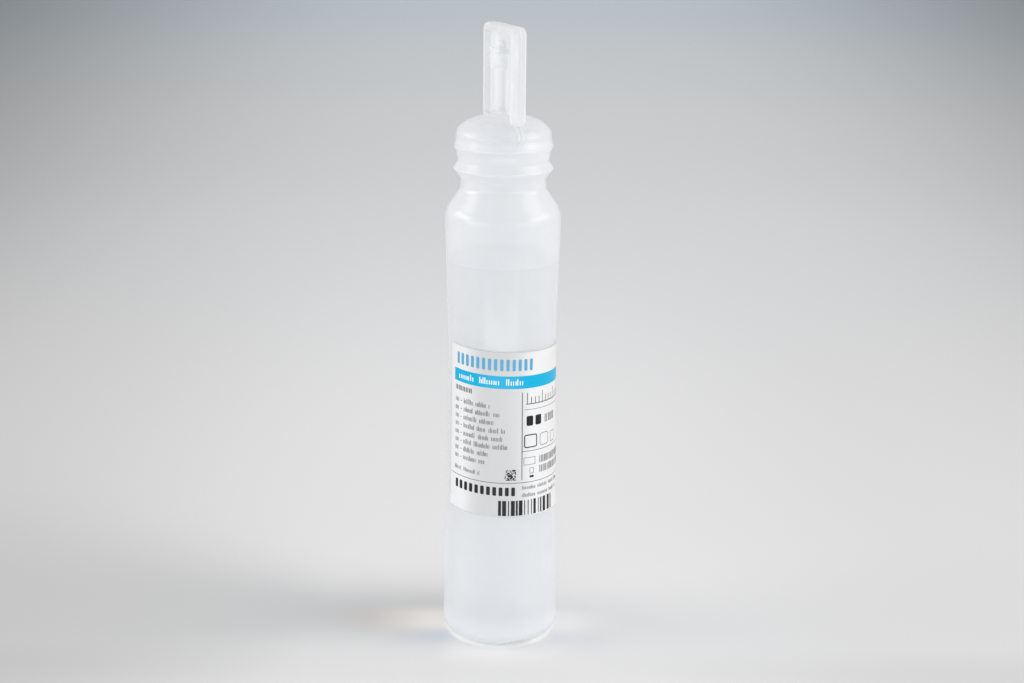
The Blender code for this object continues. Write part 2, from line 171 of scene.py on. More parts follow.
class BarrelSettings(bpy.types.PropertyGroup):
    """The waisted barrel, its wall and its shoulder."""

    base_radius: length("Base radius", 18.4, "Outside radius just above the heel")
    waist_radius: length("Waist radius", 16.77, "Smallest outside radius")
    waist_height: length("Waist height", 95, "Height of the smallest radius")
    shoulder_radius: length("Shoulder radius", 17.75, "Outside radius at the shoulder")
    shoulder_height: length("Shoulder height", 134.5, "Height where the barrel ends")
    lower_flare: number("Lower flare", 1.6, "How suddenly the barrel widens below the waist")
    upper_flare: number("Upper flare", 1.25, "How suddenly the barrel widens above the waist")
    shoulder_edge: length("Shoulder edge", 3.95, "Straight height above the barrel")
    shoulder_round: length("Shoulder round", 7, "Radius of the shoulder's outer corner")
    shoulder_slope: length("Shoulder slope", 6.95, "Height of the slope up to the neck")
    wall: length("Wall", 0.7, "Thickness of the blown wall")

    def radius(self, height, inset=0.0):
        """Outside radius at a height, less an inset."""
        end, edge, flare = HEEL_HEIGHT, self.base_radius, self.lower_flare
        if height > self.waist_height:
            end, edge, flare = self.shoulder_height, self.shoulder_radius, self.upper_flare
        reach = (height - self.waist_height) / (end - self.waist_height)
        return self.waist_radius + (edge - self.waist_radius) * reach**flare - inset

    def corners(self, top, bottom, inset=0.0):
        """The outline between two heights."""
        heights = [top + (bottom - top) * step / BARREL_STEPS for step in range(BARREL_STEPS + 1)]
        return [(self.radius(height, inset), height, 0.0) for height in heights]


class BaseSettings(bpy.types.PropertyGroup):
    """The heel, the foot ring, the pushed-up middle and the pinched groove."""

    heel_radius: length("Heel radius", 6, "Radius of the rounded heel")
    foot_inner_radius: length("Foot inner radius", 9, "Inside radius of the foot ring")
    foot_round: length("Foot round", 0.8, "Radius of the foot's inner edge")
    push_up: length("Push-up", 2.4, "Height of the middle above the ground")
    push_up_crown: length("Push-up crown", 0.5, "How much of that is crown")
    push_up_slope: length("Push-up slope", 2.2, "Width of the slope round the middle")
    push_up_round: length("Push-up round", 2, "Radius at the top of the slope")
    groove_width: length("Groove width", 9.6, "Width of the pinched groove where it meets the ground")
    groove_depth: length("Groove depth", 2, "Height of the groove's roof")
    weld_width: length("Weld width", 0.9, "Width of the weld along the groove")
    weld_drop: length("Weld drop", 0.8, "How far the weld hangs below the roof")

    def corners(self, barrel):
        """Heel, flat foot and pushed-up middle."""
        return [
            (barrel.radius(self.heel_radius), 0.0, self.heel_radius),
            (self.foot_inner_radius, 0.0, self.foot_round),
            (
                self.foot_inner_radius - self.push_up_slope,
                self.push_up - self.push_up_crown,
                self.push_up_round,
            ),
            (0.0, self.push_up, 0.0),
        ]


class NeckSettings(bpy.types.PropertyGroup):
    """The neck with its two rings and the collar between them."""

    neck_radius: length("Neck radius", 13, "Outside radius of the neck")
    neck_height: length("Neck height", 3.2, "Height of the straight neck")
    neck_round: length("Neck round", 3, "Radius where the shoulder meets the neck")
    ring_step: length("Ring step", 2.35, "How far the lower ring stands out")
    ring_rise: length("Ring rise", 2.8, "Height up to the lower ring's edge")
    ring_fall: length("Ring fall", 2.35, "Height from the lower ring's edge to the collar")
    collar_step: length("Collar step", 0.8, "How far the collar stands out from the neck")
    collar_height: length("Collar height", 2.75, "Height of the collar")
    collar_flare: length("Collar flare", 0.45, "How much the collar widens towards its top")
    upper_ring_step: length("Upper ring step", 1.35, "How far the upper ring stands out from the collar")
    upper_ring_rise: length("Upper ring rise", 1.6, "Height up to the upper ring's edge")
    upper_ring_fall: length("Upper ring fall", 2.7, "Height from that edge to the dome")
    edge_round: length("Edge round", 0.45, "Radius of the small corners")


class DomeSettings(bpy.types.PropertyGroup):
    """The dome, the seam over it and the nozzle."""

    dome_step: length("Dome step", 0.7, "How much wider the dome is than the collar")
    dome_edge: length("Dome edge", 0.6, "Straight height at the foot of the dome")
    dome_rise: length("Dome rise", 6.5, "Height of the dome")
    seam_width: length("Seam width", 2, "Width of the double seam over the dome")
    seam_height: length("Seam height", 0.25, "How far the seam stands proud")
    bore_radius: length("Bore radius", 1.5, "Radius of the bore through nozzle and stem")
    nozzle_wall: length("Nozzle wall", 1.4, "Wall of the nozzle round the bore")
    nozzle_flare: length("Nozzle flare", 1.3, "How much wider the nozzle's root is")
    nozzle_height: length("Nozzle height", 1, "Height above the dome")
    nozzle_foot: length("Nozzle foot", 0.4, "Height where the nozzle's side turns into its root")
    small_round: length("Small round", 0.3, "Radius of the nozzle's corners")


class TabSettings(bpy.types.PropertyGroup):
    """The winged tab and the tear ring under its stem."""

    seat_gap: length("Seat gap", 0.2, "Gap above and below the tear ring")
    ring_height: length("Tear ring height", 0.5, "Height of the tear ring")
    ring_wall: length("Tear ring wall", 0.8, "Wall of the tear ring round the bore")
    ring_notch: length("Tear ring notch", 0.2, "Depth of the notch round the tear ring")
    width: length("Width", 25.6, "Width across the wings")
    thickness: length("Thickness", 4.6, "Thickness of the rim")
    corner: length("Corner", 2.6, "Radius of the upper corners")
    edge_round: length("Edge round", 0.8, "Rounding of the rim's long edges")
    clearance: length("Clearance", 0.55, "Gap between the wings and the dome")
    wing_foot_round: length("Wing foot round", 1.4, "Rounding of the lower corners")
    rim_width: length("Rim width", 2.1, "Width of the rim round the pockets")
    web: length("Web", 1.3, "Thickness of the web between the pockets")
    stem_wall: length("Stem wall", 1.5, "Wall of the stem round the bore")
    stem_length: length("Stem length", 11.5, "Length of the stem")
    head_taper: length("Head taper", 0.9, "Height of the taper under the head")
    head_step: length("Head step", 1.3, "How much wider the head is than the stem")
    head_width: length("Head width", 10.6, "Width of the head along the tab")
    head_drum: length("Head drum", 3.3, "Height from the taper to the head's groove")
    head_groove: length("Head groove", 0.5, "Depth of the head's groove")
    head_band: length("Head band", 1.9, "Height of the band above the groove")
    cap_radius: length("Cap radius", 2.6, "Radius of the cap on the head")
    cap_rise: length("Cap rise", 2.4, "Height of that cap")
    over_head: length("Over head", 4.25, "Height of the tab above the cap")
    chamber_wall: length("Chamber wall", 1, "Wall of the hollow head")
    parting_width: length("Parting line width", 0.5, "Width of the line where the mould halves met")
    parting_rise: length("Parting line rise", 0.14, "How far that line stands proud")
    grain: length("Grain", 0.18, "Cell size of the remeshed moulding")


class LabelSettings(bpy.types.PropertyGroup):
    """The wrapped label and its print."""

    bottom: length("Bottom", 44.7, "Height of the lower edge, at the middle")
    height: length("Height", 52.9, "Height of the label")
    span: angle("Span", 168, "How far the label reaches round the barrel")
    slant: length("Slant", 2, "How much higher the left edge is than the right")
    lift: length("Lift", 0.06, "Gap between the barrel and the film")
    film: length("Film", 0.2, "Thickness of the film")
    ink: length("Ink", 0.02, "Thickness of the ink")
    ink_gap: length("Ink gap", 0.012, "Gap between the film and the ink")
    seed: bpy.props.IntProperty(name="Seed", description="Start of the print's random widths", default=11)


class FillSettings(bpy.types.PropertyGroup):
    """The saline inside."""

    headspace: length("Headspace", 11, "Height from the liquid up to the shoulder")
    film: length("Film", 0.12, "Gap between the fill and the wall")
    meniscus: length("Meniscus", 0.5, "How far the liquid climbs at the wall")
    meniscus_width: length("Meniscus width", 1.6, "How far from the wall that climb starts")


class FinishSettings(bpy.types.PropertyGroup):
    """Colours and surfaces."""

    shell: colour("Shell", (0.93, 0.95, 0.97), "Colour of the blown shell")
    shell_cover: share("Shell cover", 0.42, "How much one skin of the barrel hides")
    shell_gloss: share("Shell roughness", 0.22, "Roughness of the blown shell")
    tab: colour("Tab", (0.93, 0.95, 0.965), "Colour of the tab")
    tab_cover: share("Tab cover", 0.33, "How much one skin of the tab hides")
    tab_gloss: share("Tab roughness", 0.14, "Roughness of the tab")
    rim_cover: share("Rim cover", 0.5, "How much more a skin hides where it is seen edge on")
    saline: colour("Saline", (0.88, 0.93, 0.96), "Tint of the fill")
    saline_cover: share("Saline cover", 0.12, "How much one skin of the fill hides")
    film: colour("Label film", (0.76, 0.77, 0.775), "Colour of the unprinted label")
    ink_cyan: colour("Cyan ink", (0.0, 0.42, 0.70), "Colour of the band")
    ink_blue: colour("Blue ink", (0.10, 0.38, 0.62), "Colour of the headline marks")
    ink_black: colour("Black ink", (0.012, 0.012, 0.014), "Colour of the strong marks")
    ink_grey: colour("Grey ink", (0.12, 0.12, 0.13), "Colour of the fine marks")
    ink_pale: colour("Pale ink", (0.86, 0.93, 0.96), "Colour of the marks in the band")


class StageSettings(bpy.types.PropertyGroup):
    """Camera, lamps and floor."""

    azimuth: angle("Azimuth", -21, "Direction the camera stands in, from -Y")
    pitch: angle("Pitch", 16, "How far the camera looks down")
    roll: angle("Roll", 0.59, "How far the camera is rolled")
    distance: length("Distance", 500, "Distance from the camera to the aim")
    aim_height: length("Aim height", 96.55, "Height on the axis that the camera aims beside")
    aim_side: length("Aim side", 3.15, "How far to the right of the axis it aims")
    lens: number("Lens", 56.25, "Focal length in millimetres on a 36 mm frame")
    floor_colour: colour("Floor", (0.942, 0.959, 0.964), "Colour of the floor beside the bottle")


class SalineBottleSettings(bpy.types.PropertyGroup):
    """All settings of the bottle."""

    barrel: bpy.props.PointerProperty(type=BarrelSettings)
    base: bpy.props.PointerProperty(type=BaseSettings)
    neck: bpy.props.PointerProperty(type=NeckSettings)
    dome: bpy.props.PointerProperty(type=DomeSettings)
    tab: bpy.props.PointerProperty(type=TabSettings)
    label: bpy.props.PointerProperty(type=LabelSettings)
    fill: bpy.props.PointerProperty(type=FillSettings)
    finish: bpy.props.PointerProperty(type=FinishSettings)
    stage: bpy.props.PointerProperty(type=StageSettings)


class Levels:
    """Heights and radii that follow from the sizes."""

    def __init__(self, settings):
        barrel, neck, dome, tab = settings.barrel, settings.neck, settings.dome, settings.tab
        self.shoulder_top = barrel.shoulder_height + barrel.shoulder_edge
        self.neck_bottom = self.shoulder_top + barrel.shoulder_slope
        self.neck_top = self.neck_bottom + neck.neck_height
        self.ring_top = self.neck_top + neck.ring_rise
        self.collar_bottom = self.ring_top + neck.ring_fall
        self.collar_top = self.collar_bottom + neck.collar_height
        self.collar_radius = neck.neck_radius + neck.collar_step
        self.upper_ring_top = self.collar_top + neck.upper_ring_rise
        self.dome_radius = self.collar_radius + dome.dome_step
        self.dome_bottom = self.upper_ring_top + neck.upper_ring_fall + dome.dome_edge
        self.dome_rise = dome.dome_rise
        self.dome_top = self.dome_bottom + dome.dome_rise
        self.nozzle_radius = dome.bore_radius + dome.nozzle_wall
        self.nozzle_root_radius = self.nozzle_radius + dome.nozzle_flare
        self.nozzle_top = self.dome_top + dome.nozzle_height
        self.ring_seat = self.nozzle_top + tab.seat_gap
        self.stem_bottom = self.ring_seat + tab.ring_height + tab.seat_gap
        self.stem_radius = dome.bore_radius + tab.stem_wall
        self.stem_top = self.stem_bottom + tab.stem_length
        self.head_radius = self.stem_radius + tab.head_step
        self.head_bottom = self.stem_top + tab.head_taper
        self.head_groove = self.head_bottom + tab.head_drum
        self.head_top = self.head_groove + tab.head_band
        self.tab_top = self.head_top + tab.cap_rise + tab.over_head
        self.saline = barrel.shoulder_height - settings.fill.headspace

    def dome_height(self, radius, inset=0.0):
        """Height of the dome, a flat ellipsoid, at a distance from the axis."""
        reach = min(1.0, radius / (self.dome_radius - inset))
        return self.dome_bottom + (self.dome_rise - inset) * math.sqrt(1.0 - reach * reach)

    def dome_corners(self, start_radius, inset=0.0):
        """The dome's outline from a radius near the axis out to its rim."""
        full, rise = self.dome_radius - inset, self.dome_rise - inset
        first = math.asin(start_radius / full)
        angles = [first + (math.pi / 2 - first) * step / DOME_STEPS for step in range(DOME_STEPS + 1)]
        return [(full * math.sin(turn), self.dome_bottom + rise * math.cos(turn), 0.0) for turn in angles]


# Outlines and turned shapes. A corner is (radius, height, fillet), and an outline runs from the top down.


def beyond(end, neighbour):
    """A point past an outline's end: mirrored where the outline meets the axis, and straight on elsewhere."""
    return 2 * end - neighbour if end.x else Vector((-neighbour.x, neighbour.y))


def inset_corners(corners, inset):
    """Moves a line of corners towards the inside of a piece. A fillet that bulges out gets tighter."""
    points = [Vector(corner[:2]) for corner in corners]
    points = [beyond(points[0], points[1])] + points + [beyond(points[-1], points[-2])]
    moved = []
    for before, here, after, corner in zip(points, points[1:], points[2:], corners):
        arriving, leaving = (here - before).normalized(), (after - here).normalized()
        inward = [Vector((way.y, -way.x)) for way in (arriving, leaving)]
        middle = (inward[0] + inward[1]).normalized()
        place = here + middle * (inset / middle.dot(inward[0]))
        turn = arriving.cross(leaving)
        fillet = max(corner[2] + math.copysign(inset, turn), LEAST_FILLET) if corner[2] else 0.0
        moved.append((max(place.x, 0.0), place.y, fillet))
    return moved


def rounded(shape, geom, radius, steps, affect="VERTICES"):
    """Rounds off some corners or edges of a mesh."""
    bmesh.ops.bevel(
        shape,
        geom=geom,
        offset=radius,
        offset_type="OFFSET",
        segments=steps,
        profile=0.5,
        affect=affect,
        material=-1,
    )


def outlined(corners):
    """Starts a mesh with a line through the corners, each fillet rounded off."""
    shape = bmesh.new()
    spots = [shape.verts.new((radius, 0.0, height)) for radius, height, _ in corners]
    for pair in zip(spots, spots[1:]):
        shape.edges.new(pair)
    places = [spot.co.copy() for spot in spots]
    for index in range(1, len(corners) - 1):
        fillet = corners[index][2]
        if not fillet:
            continue
        beside = (index - 1, index + 1)
        sides = [places[other] - places[index] for other in beside]
        half = sides[0].angle(sides[1]) / 2
        room = [
            side.length * (SHARED_SIDE if corners[other][2] else WHOLE_SIDE)
            for side, other in zip(sides, beside)
        ]
        steps = max(2, math.ceil((math.pi - 2 * half) / ARC_STEP))
        rounded(shape, [spots[index]], min(fillet / math.tan(half), *room), steps)
    return shape


def spun(shape, steps=SHELL_STEPS):
    """Spins everything in a mesh once round the Z axis, and closes it."""
    bmesh.ops.spin(
        shape,
        geom=shape.verts[:] + shape.edges[:],
        cent=(0.0, 0.0, 0.0),
        axis=(0.0, 0.0, 1.0),
        angle=2 * math.pi,
        steps=steps,
        use_merge=True,
    )
    bmesh.ops.remove_doubles(shape, verts=shape.verts, dist=WELD)
    bmesh.ops.recalc_face_normals(shape, faces=shape.faces)
    return shape


def turned(corners):
    """A turned solid for the tab or its ring."""
    return spun(outlined(corners), TAB_STEPS)


def cut_across(shape, faces, positions):
    """Adds edges along planes square to X, at the given positions, in some of the faces."""
    for position in positions:
        alive = [face for face in faces if face.is_valid]
        near = set(alive)
        near.update(edge for face in alive for edge in face.edges)
        near.update(vert for face in alive for vert in face.verts)
        made = bmesh.ops.bisect_plane(
            shape,
            geom=list(near),
            dist=WELD,
            plane_co=(position, 0.0, 0.0),
            plane_no=(1.0, 0.0, 0.0),
        )
        faces = [item for item in made["geom"] if isinstance(item, bmesh.types.BMFace)]
    return faces


def placed(name, shape):
    """Turns a mesh into an object in the scene."""
    mesh = bpy.data.meshes.new(name)
    shape.to_mesh(mesh)
    shape.free()
    made = bpy.data.objects.new(name, mesh)
    bpy.context.scene.collection.objects.link(made)
    return made


def dressed(piece, material, body, replaces=(), crease=CREASE):
    """Shades a piece, gives it its finish, and hangs it on its body in the frame."""
    mesh = piece.data
    mesh.polygons.foreach_set("use_smooth", [True] * len(mesh.polygons))
    mesh.set_sharp_from_angle(angle=crease)
    mesh.materials.clear()
    mesh.materials.append(material)
    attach(piece, body)
    if replaces:
        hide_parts(*replaces)


def settled(piece):
    """Applies a piece's modifiers to its mesh."""
    bpy.context.view_layer.update()
    evaluated = piece.evaluated_get(bpy.context.evaluated_depsgraph_get())
    mesh = bpy.data.meshes.new_from_object(evaluated)
    piece.modifiers.clear()
    piece.data = mesh


# Finishes


class Wire:
    """A socket in a material that takes part in sums."""

    def __init__(self, graph, socket):
        self.graph, self.socket = graph, socket

    def sum(self, operation, first, second):
        return self.graph.add("ShaderNodeMath", {"operation": operation}, {0: first, 1: second})

    def __add__(self, other):
        return self.sum("ADD", self, other)

    def __sub__(self, other):
        return self.sum("SUBTRACT", self, other)

    def __mul__(self, other):
        return self.sum("MULTIPLY", self, other)

    def __truediv__(self, other):
        return self.sum("DIVIDE", self, other)

    def __rsub__(self, other):
        return self.sum("SUBTRACT", other, self)

    def __rtruediv__(self, other):
        return self.sum("DIVIDE", other, self)

    def __pow__(self, other):
        return self.sum("POWER", self, other)

    def __abs__(self):
        return self.sum("ABSOLUTE", self, 0.0)

    __radd__ = __add__
    __rmul__ = __mul__


class Finish:
    """A material that is built node by node."""

    def __init__(self, name):
        self.material = bpy.data.materials.new(name)
        self.material.use_nodes = True
        self.tree = self.material.node_tree
        self.tree.nodes.clear()

    def add(self, kind, options=None, inputs=None, output=0):
        """Adds a node with its settings and the values or wires of its sockets, and gives one output."""
        node = self.tree.nodes.new(kind)
        for key, value in (options or {}).items():
            if key == "stops":
                self.set_stops(node.color_ramp, value)
            else:
                setattr(node, key, value)
        for key, value in (inputs or {}).items():
            if isinstance(value, Wire):
                self.tree.links.new(value.socket, node.inputs[key])
            else:
                node.inputs[key].default_value = value
        return Wire(self, node.outputs[output])

    @staticmethod
    def set_stops(ramp, stops):
        """Gives a colour ramp its stops, each (position, colour)."""
        while len(ramp.elements) < len(stops):
            ramp.elements.new(1.0)
        for element, (position, value) in zip(ramp.elements, stops):
            element.position, element.color = position, (*value, 1.0)

    def place(self):
        """Object coordinates, in metres."""
        return self.add("ShaderNodeTexCoord", output="Object")

    def axes(self, place):
        """X, Y and Z of a point."""
        node = self.add("ShaderNodeSeparateXYZ", inputs={0: place}).socket.node
        return [Wire(self, socket) for socket in node.outputs]

    def noise(self, place, scale, detail=2.0, roughness=0.5):
        """A soft pattern from 0 to 1."""
        inputs = {"Vector": place, "Scale": scale, "Detail": detail, "Roughness": roughness}
        return self.add("ShaderNodeTexNoise", {}, inputs, "Fac")

    def between(self, value, low, high, start=0.0, end=1.0):
        """Maps a value from one range to another, held at both ends and eased."""
        options = {"interpolation_type": "SMOOTHSTEP", "clamp": True}
        inputs = {"Value": value, "From Min": low, "From Max": high, "To Min": start, "To Max": end}
        return self.add("ShaderNodeMapRange", options, inputs)

    def scaled(self, place, scale):
        """A point with each axis stretched."""
        return self.add("ShaderNodeVectorMath", {"operation": "MULTIPLY"}, {0: place, 1: scale})

    def mixed(self, factor, first, second):
        """A blend of two colours."""
        first, second = [each if isinstance(each, Wire) else (*each, 1.0) for each in (first, second)]
        return self.add("ShaderNodeMix", {"data_type": "RGBA"}, {0: factor, 6: first, 7: second}, 2)

    def multiplied(self, first, second):
        """The product of two colours, or of a colour and a value."""
        second = second if isinstance(second, Wire) else (*second, 1.0)
        options = {"data_type": "RGBA", "blend_type": "MULTIPLY"}
        return self.add("ShaderNodeMix", options, {0: 1.0, 6: first, 7: second}, 2)

    def most(self, first, second):
        """The larger of two values."""
        return self.add("ShaderNodeMath", {"operation": "MAXIMUM"}, {0: first, 1: second})

    def peak(self, value, power):
        """Falls from 1 at zero towards 0, and is half way down at one."""
        return 1.0 / (value**power + 1.0)

    def bump(self, height, strength, distance):
        """A normal that follows a height."""
        return self.add("ShaderNodeBump", {}, {"Height": height, "Strength": strength, "Distance": distance})

    def done(self, shader):
        """Makes a shader the surface and gives the material."""
        node = self.tree.nodes.new("ShaderNodeOutputMaterial")
        self.tree.links.new(shader.socket, node.inputs["Surface"])
        return self.material


def shaded(tint, factor):
    """A colour made lighter or darker."""
    return tuple(min(1.0, channel * factor) for channel in tint)


def milky_plastic(name, tint, cover, roughness, rim, coat, bands=(), walls=(), streaks=(), seam=()):
    """Translucent moulded plastic. Each band is (low, high, cover): cover grows by that much on the way up.

    Each wall is the same, but on the way out from the tab's middle. Rim is the extra cover of the outer skin
    where it is seen edge on. Streaks is (low, high, amount below, amount above), for a cover that is streaky
    above a height. Seam is the same, for the extra cover of the double seam in the plane of the tab.
    """
    finish = Finish(name)
    place = finish.place()
    x, y, z = finish.axes(place)
    outer = 1.0 - finish.add("ShaderNodeAttribute", {"attribute_name": "inside"}, {}, "Fac")
    clouds = finish.noise(place, 90.0)
    grain = finish.noise(place, 1400.0)
    base = finish.mixed(clouds, tint, shaded(tint, 1.02))
    thickness = clouds * 0.05 + (cover - 0.025)
    if streaks:
        flow = finish.noise(finish.scaled(place, (0.5, 0.5, 1.3)), 420.0, 3.0, 0.6)
        thickness = thickness + (flow - 0.5) * finish.between(z, *streaks)
    for low, high, extra in bands:
        thickness = thickness + finish.between(z, low, high, 0.0, extra)
    if seam:
        ridges = finish.between(abs(x), *RIDGE_INNER) * finish.between(abs(x), *RIDGE_OUTER)
        ridges = ridges * finish.between(abs(y), *RIDGE_START)
        thickness = thickness + ridges * finish.between(z, *seam)
    for low, high, extra in walls:
        thickness = finish.most(thickness, finish.between(abs(y), low, high, cover, cover + extra))
    facing = finish.add("ShaderNodeLayerWeight", {}, {"Blend": 0.5}, "Facing")
    thickness = thickness + facing**3.0 * outer * rim
    inputs = {
        "Base Color": base,
        "Roughness": grain * 0.06 + (roughness - 0.03),
        "IOR": 1.5,
        "Specular IOR Level": 0.7,
        "Coat Weight": outer * coat,
        "Coat Roughness": 0.1,
        "Normal": finish.bump(clouds, 0.12, 0.0004),
    }
    solid = finish.add("ShaderNodeBsdfPrincipled", {}, inputs)
    through = finish.add("ShaderNodeBsdfTranslucent", {}, {"Color": (*shaded(tint, 1.01), 1.0)})
    milk = finish.add("ShaderNodeMixShader", {}, {0: GLOW, 1: solid, 2: through})
    clear = finish.add("ShaderNodeBsdfTransparent")
    return finish.done(finish.add("ShaderNodeMixShader", {}, {0: thickness, 1: clear, 2: milk}))


def clear_liquid(name, tint, cover):
    """Clear fill with a faint tint and a wet surface."""
    finish = Finish(name)
    clouds = finish.noise(finish.place(), 60.0, 1.0)
    inputs = {
        "Base Color": finish.mixed(clouds, tint, shaded(tint, 0.985)),
        "Roughness": 0.08,
        "IOR": 1.33,
        "Alpha": clouds * 0.01 + (cover - 0.005),
        "Specular IOR Level": 0.2,
    }
    return finish.done(finish.add("ShaderNodeBsdfPrincipled", {}, inputs))


def printed_film(name, tint, painted_label_shade=()):
    """Film or ink on the label, slightly uneven.

    The last argument is (turn, middle, sides), for painted shade down the film, darker in its middle and
    lighter to its sides: its lightness at that turn and about 40 degrees to either side.
    """
    finish = Finish(name)
    place = finish.place()
    clouds = finish.noise(place, 220.0, 3.0)
    fibre = finish.noise(place, 2600.0)
    base = finish.mixed(clouds, shaded(tint, 0.97), tint)
    # Painted shade: the film is darker down its middle and lighter to its sides.
    if painted_label_shade:
        turn, middle, sides = painted_label_shade
        x, y = finish.axes(place)[:2]
        ahead = (x * math.sin(turn) - y * math.cos(turn)) / PRINT_RADIUS
        base = finish.multiplied(base, finish.between(ahead, 1.0, 0.76, middle, sides))
    inputs = {
        "Base Color": base,
        "Roughness": clouds * 0.06 + 0.3,
        "Specular IOR Level": 0.3,
        "Normal": finish.bump(fibre, 0.05, 0.0001),
    }
    return finish.done(finish.add("ShaderNodeBsdfPrincipled", {}, inputs))


# Pieces


def shell_outline(settings, levels):
    """One closed outline: down the outside from nozzle to base, then up the inside to the bore."""
    barrel, neck, dome = settings.barrel, settings.neck, settings.dome
    wall = barrel.wall
    rings = [
        (levels.dome_radius, levels.dome_bottom - dome.dome_edge, neck.edge_round),
        (levels.collar_radius + neck.upper_ring_step, levels.upper_ring_top, neck.edge_round),
        (levels.collar_radius + neck.collar_flare, levels.collar_top, neck.edge_round),
        (levels.collar_radius, levels.collar_bottom, neck.edge_round),
        (neck.neck_radius + neck.ring_step, levels.ring_top, neck.edge_round),
        (neck.neck_radius, levels.neck_top, neck.edge_round),
        (neck.neck_radius, levels.neck_bottom, neck.neck_round),
        (barrel.shoulder_radius, levels.shoulder_top, barrel.shoulder_round),
    ]
    side = barrel.corners(barrel.shoulder_height, settings.base.heel_radius)
    base = settings.base.corners(barrel)
    nozzle = [
        (levels.nozzle_radius, levels.nozzle_top, dome.small_round),
        (levels.nozzle_radius, levels.dome_height(levels.nozzle_radius) + dome.nozzle_foot, dome.small_round),
    ]
    outside = nozzle + levels.dome_corners(levels.nozzle_root_radius) + rings + side + base
    above_heel = (barrel.radius(2 * HEEL_HEIGHT), 2 * HEEL_HEIGHT, 0.0)
    inner_base = inset_corners([above_heel] + base, wall)[1:]
    inside = levels.dome_corners(dome.bore_radius, wall) + inset_corners(rings + side, wall) + inner_base
    mouth = [(dome.bore_radius, levels.nozzle_top, 0.0)]
    return outside[::-1] + mouth + inside


def arch(x, base, extra=0.0):
    """Height of the groove's roof at a distance from its middle."""
    radius = base.groove_width**2 / (8 * base.groove_depth) + base.groove_depth / 2
    reach = (radius + extra) ** 2 - x * x
    return base.groove_depth - radius + math.sqrt(reach) if reach > 0.0 else 0.0


def pinch(shape, base, inside):
    """Lifts the mesh into the groove across the base. Inside tells how far a vertex lies within the shell."""
    half, weld = base.groove_width / 2, base.weld_width / 2
    reach = base.groove_depth * PINCH_SHARE + PINCH_MORE
    low = [face for face in shape.faces if all(vert.co.z < reach for vert in face.verts)]
    spots = [half * (2 * step / GROOVE_STEPS - 1) for step in range(GROOVE_STEPS + 1)]
    cuts = [weld * share for share in WELD_CUTS] + [half * share for share in GROOVE_CUTS]
    spots += [side * cut for cut in cuts for side in (-1, 1)]
    faces = cut_across(shape, low, sorted(spots))
    for vert in {vert for face in faces for vert in face.verts}:
        vert.co.z = max(vert.co.z, arch(vert.co.x, base, inside(vert)))
    return faces


def chain_order(shape):
    """The vertices of an open line, from one end to the other, starting at the lower end."""
    ends = sorted((vert for vert in shape.verts if len(vert.link_edges) == 1), key=lambda vert: vert.co.z)
    order, before = [ends[0]], None
    while True:
        here = order[-1]
        onward = [edge.other_vert(here) for edge in here.link_edges if edge.other_vert(here) is not before]
        if not onward:
            return order
        before = here
        order.append(onward[0])


def seam_rise(reach):
    """Share of the seam's height at a share of half its width."""
    for (outer, low), (inner, high) in zip(SEAM_PROFILE, SEAM_PROFILE[1:]):
        if reach >= inner:
            return low + (high - low) * (outer - reach) / (outer - inner)
    return 0.0


def raise_seam(shape, layer, dome, levels):
    """Raises the double ridge over the dome, where the mould halves met."""
    foot = levels.upper_ring_top + 0.3 * MM
    crown = [
        face
        for face in shape.faces
        if all(vert[layer] < 0.5 and vert.co.z > foot for vert in face.verts)
        and max(math.hypot(*vert.co.xy) for vert in face.verts) > levels.nozzle_root_radius
    ]
    half = dome.seam_width / 2
    spots = {side * half * share for share, _ in SEAM_PROFILE for side in (-1, 1)}
    faces = cut_across(shape, crown, sorted(spots))
    shape.normal_update()
    lifts = {}
    for vert in {vert for face in faces for vert in face.verts}:
        reach = abs(vert.co.x) / half
        if reach < 0.99:
            fade = min(1.0, (vert.co.z - foot) / SEAM_START)
            lifts[vert] = vert.normal * dome.seam_height * seam_rise(reach) * fade
    for vert, lift in lifts.items():
        vert.co += lift


def shell_bands(levels):
    """How the shell's cover changes on the way up, each as (low, high, change)."""
    line, neck, dome = levels.saline, levels.neck_bottom, levels.dome_bottom
    # More cover towards the base lightens the lower barrel and the heel as painted light.
    towards_base = [(70 * MM, 8 * MM, 0.13), (12 * MM, 2 * MM, 0.2)]
    at_the_line = [(line - 0.15 * MM, line + 0.25 * MM, 0.05), (line + 0.5 * MM, line + 12 * MM, -0.04)]
    at_the_top = [
        (neck - 4 * MM, levels.neck_top, 0.01),
        (dome - 2 * MM, dome, -0.09),
        (dome + 2 * MM, dome + 4 * MM, 0.03),
    ]
    edges = []
    # A thin band of more cover along each ring's edge, a painted highlight line.
    for height in (levels.ring_top, levels.upper_ring_top):
        edges += [(height - 0.5 * MM, height, 0.22), (height, height + 0.5 * MM, -0.22)]
    return towards_base + at_the_line + at_the_top + edges


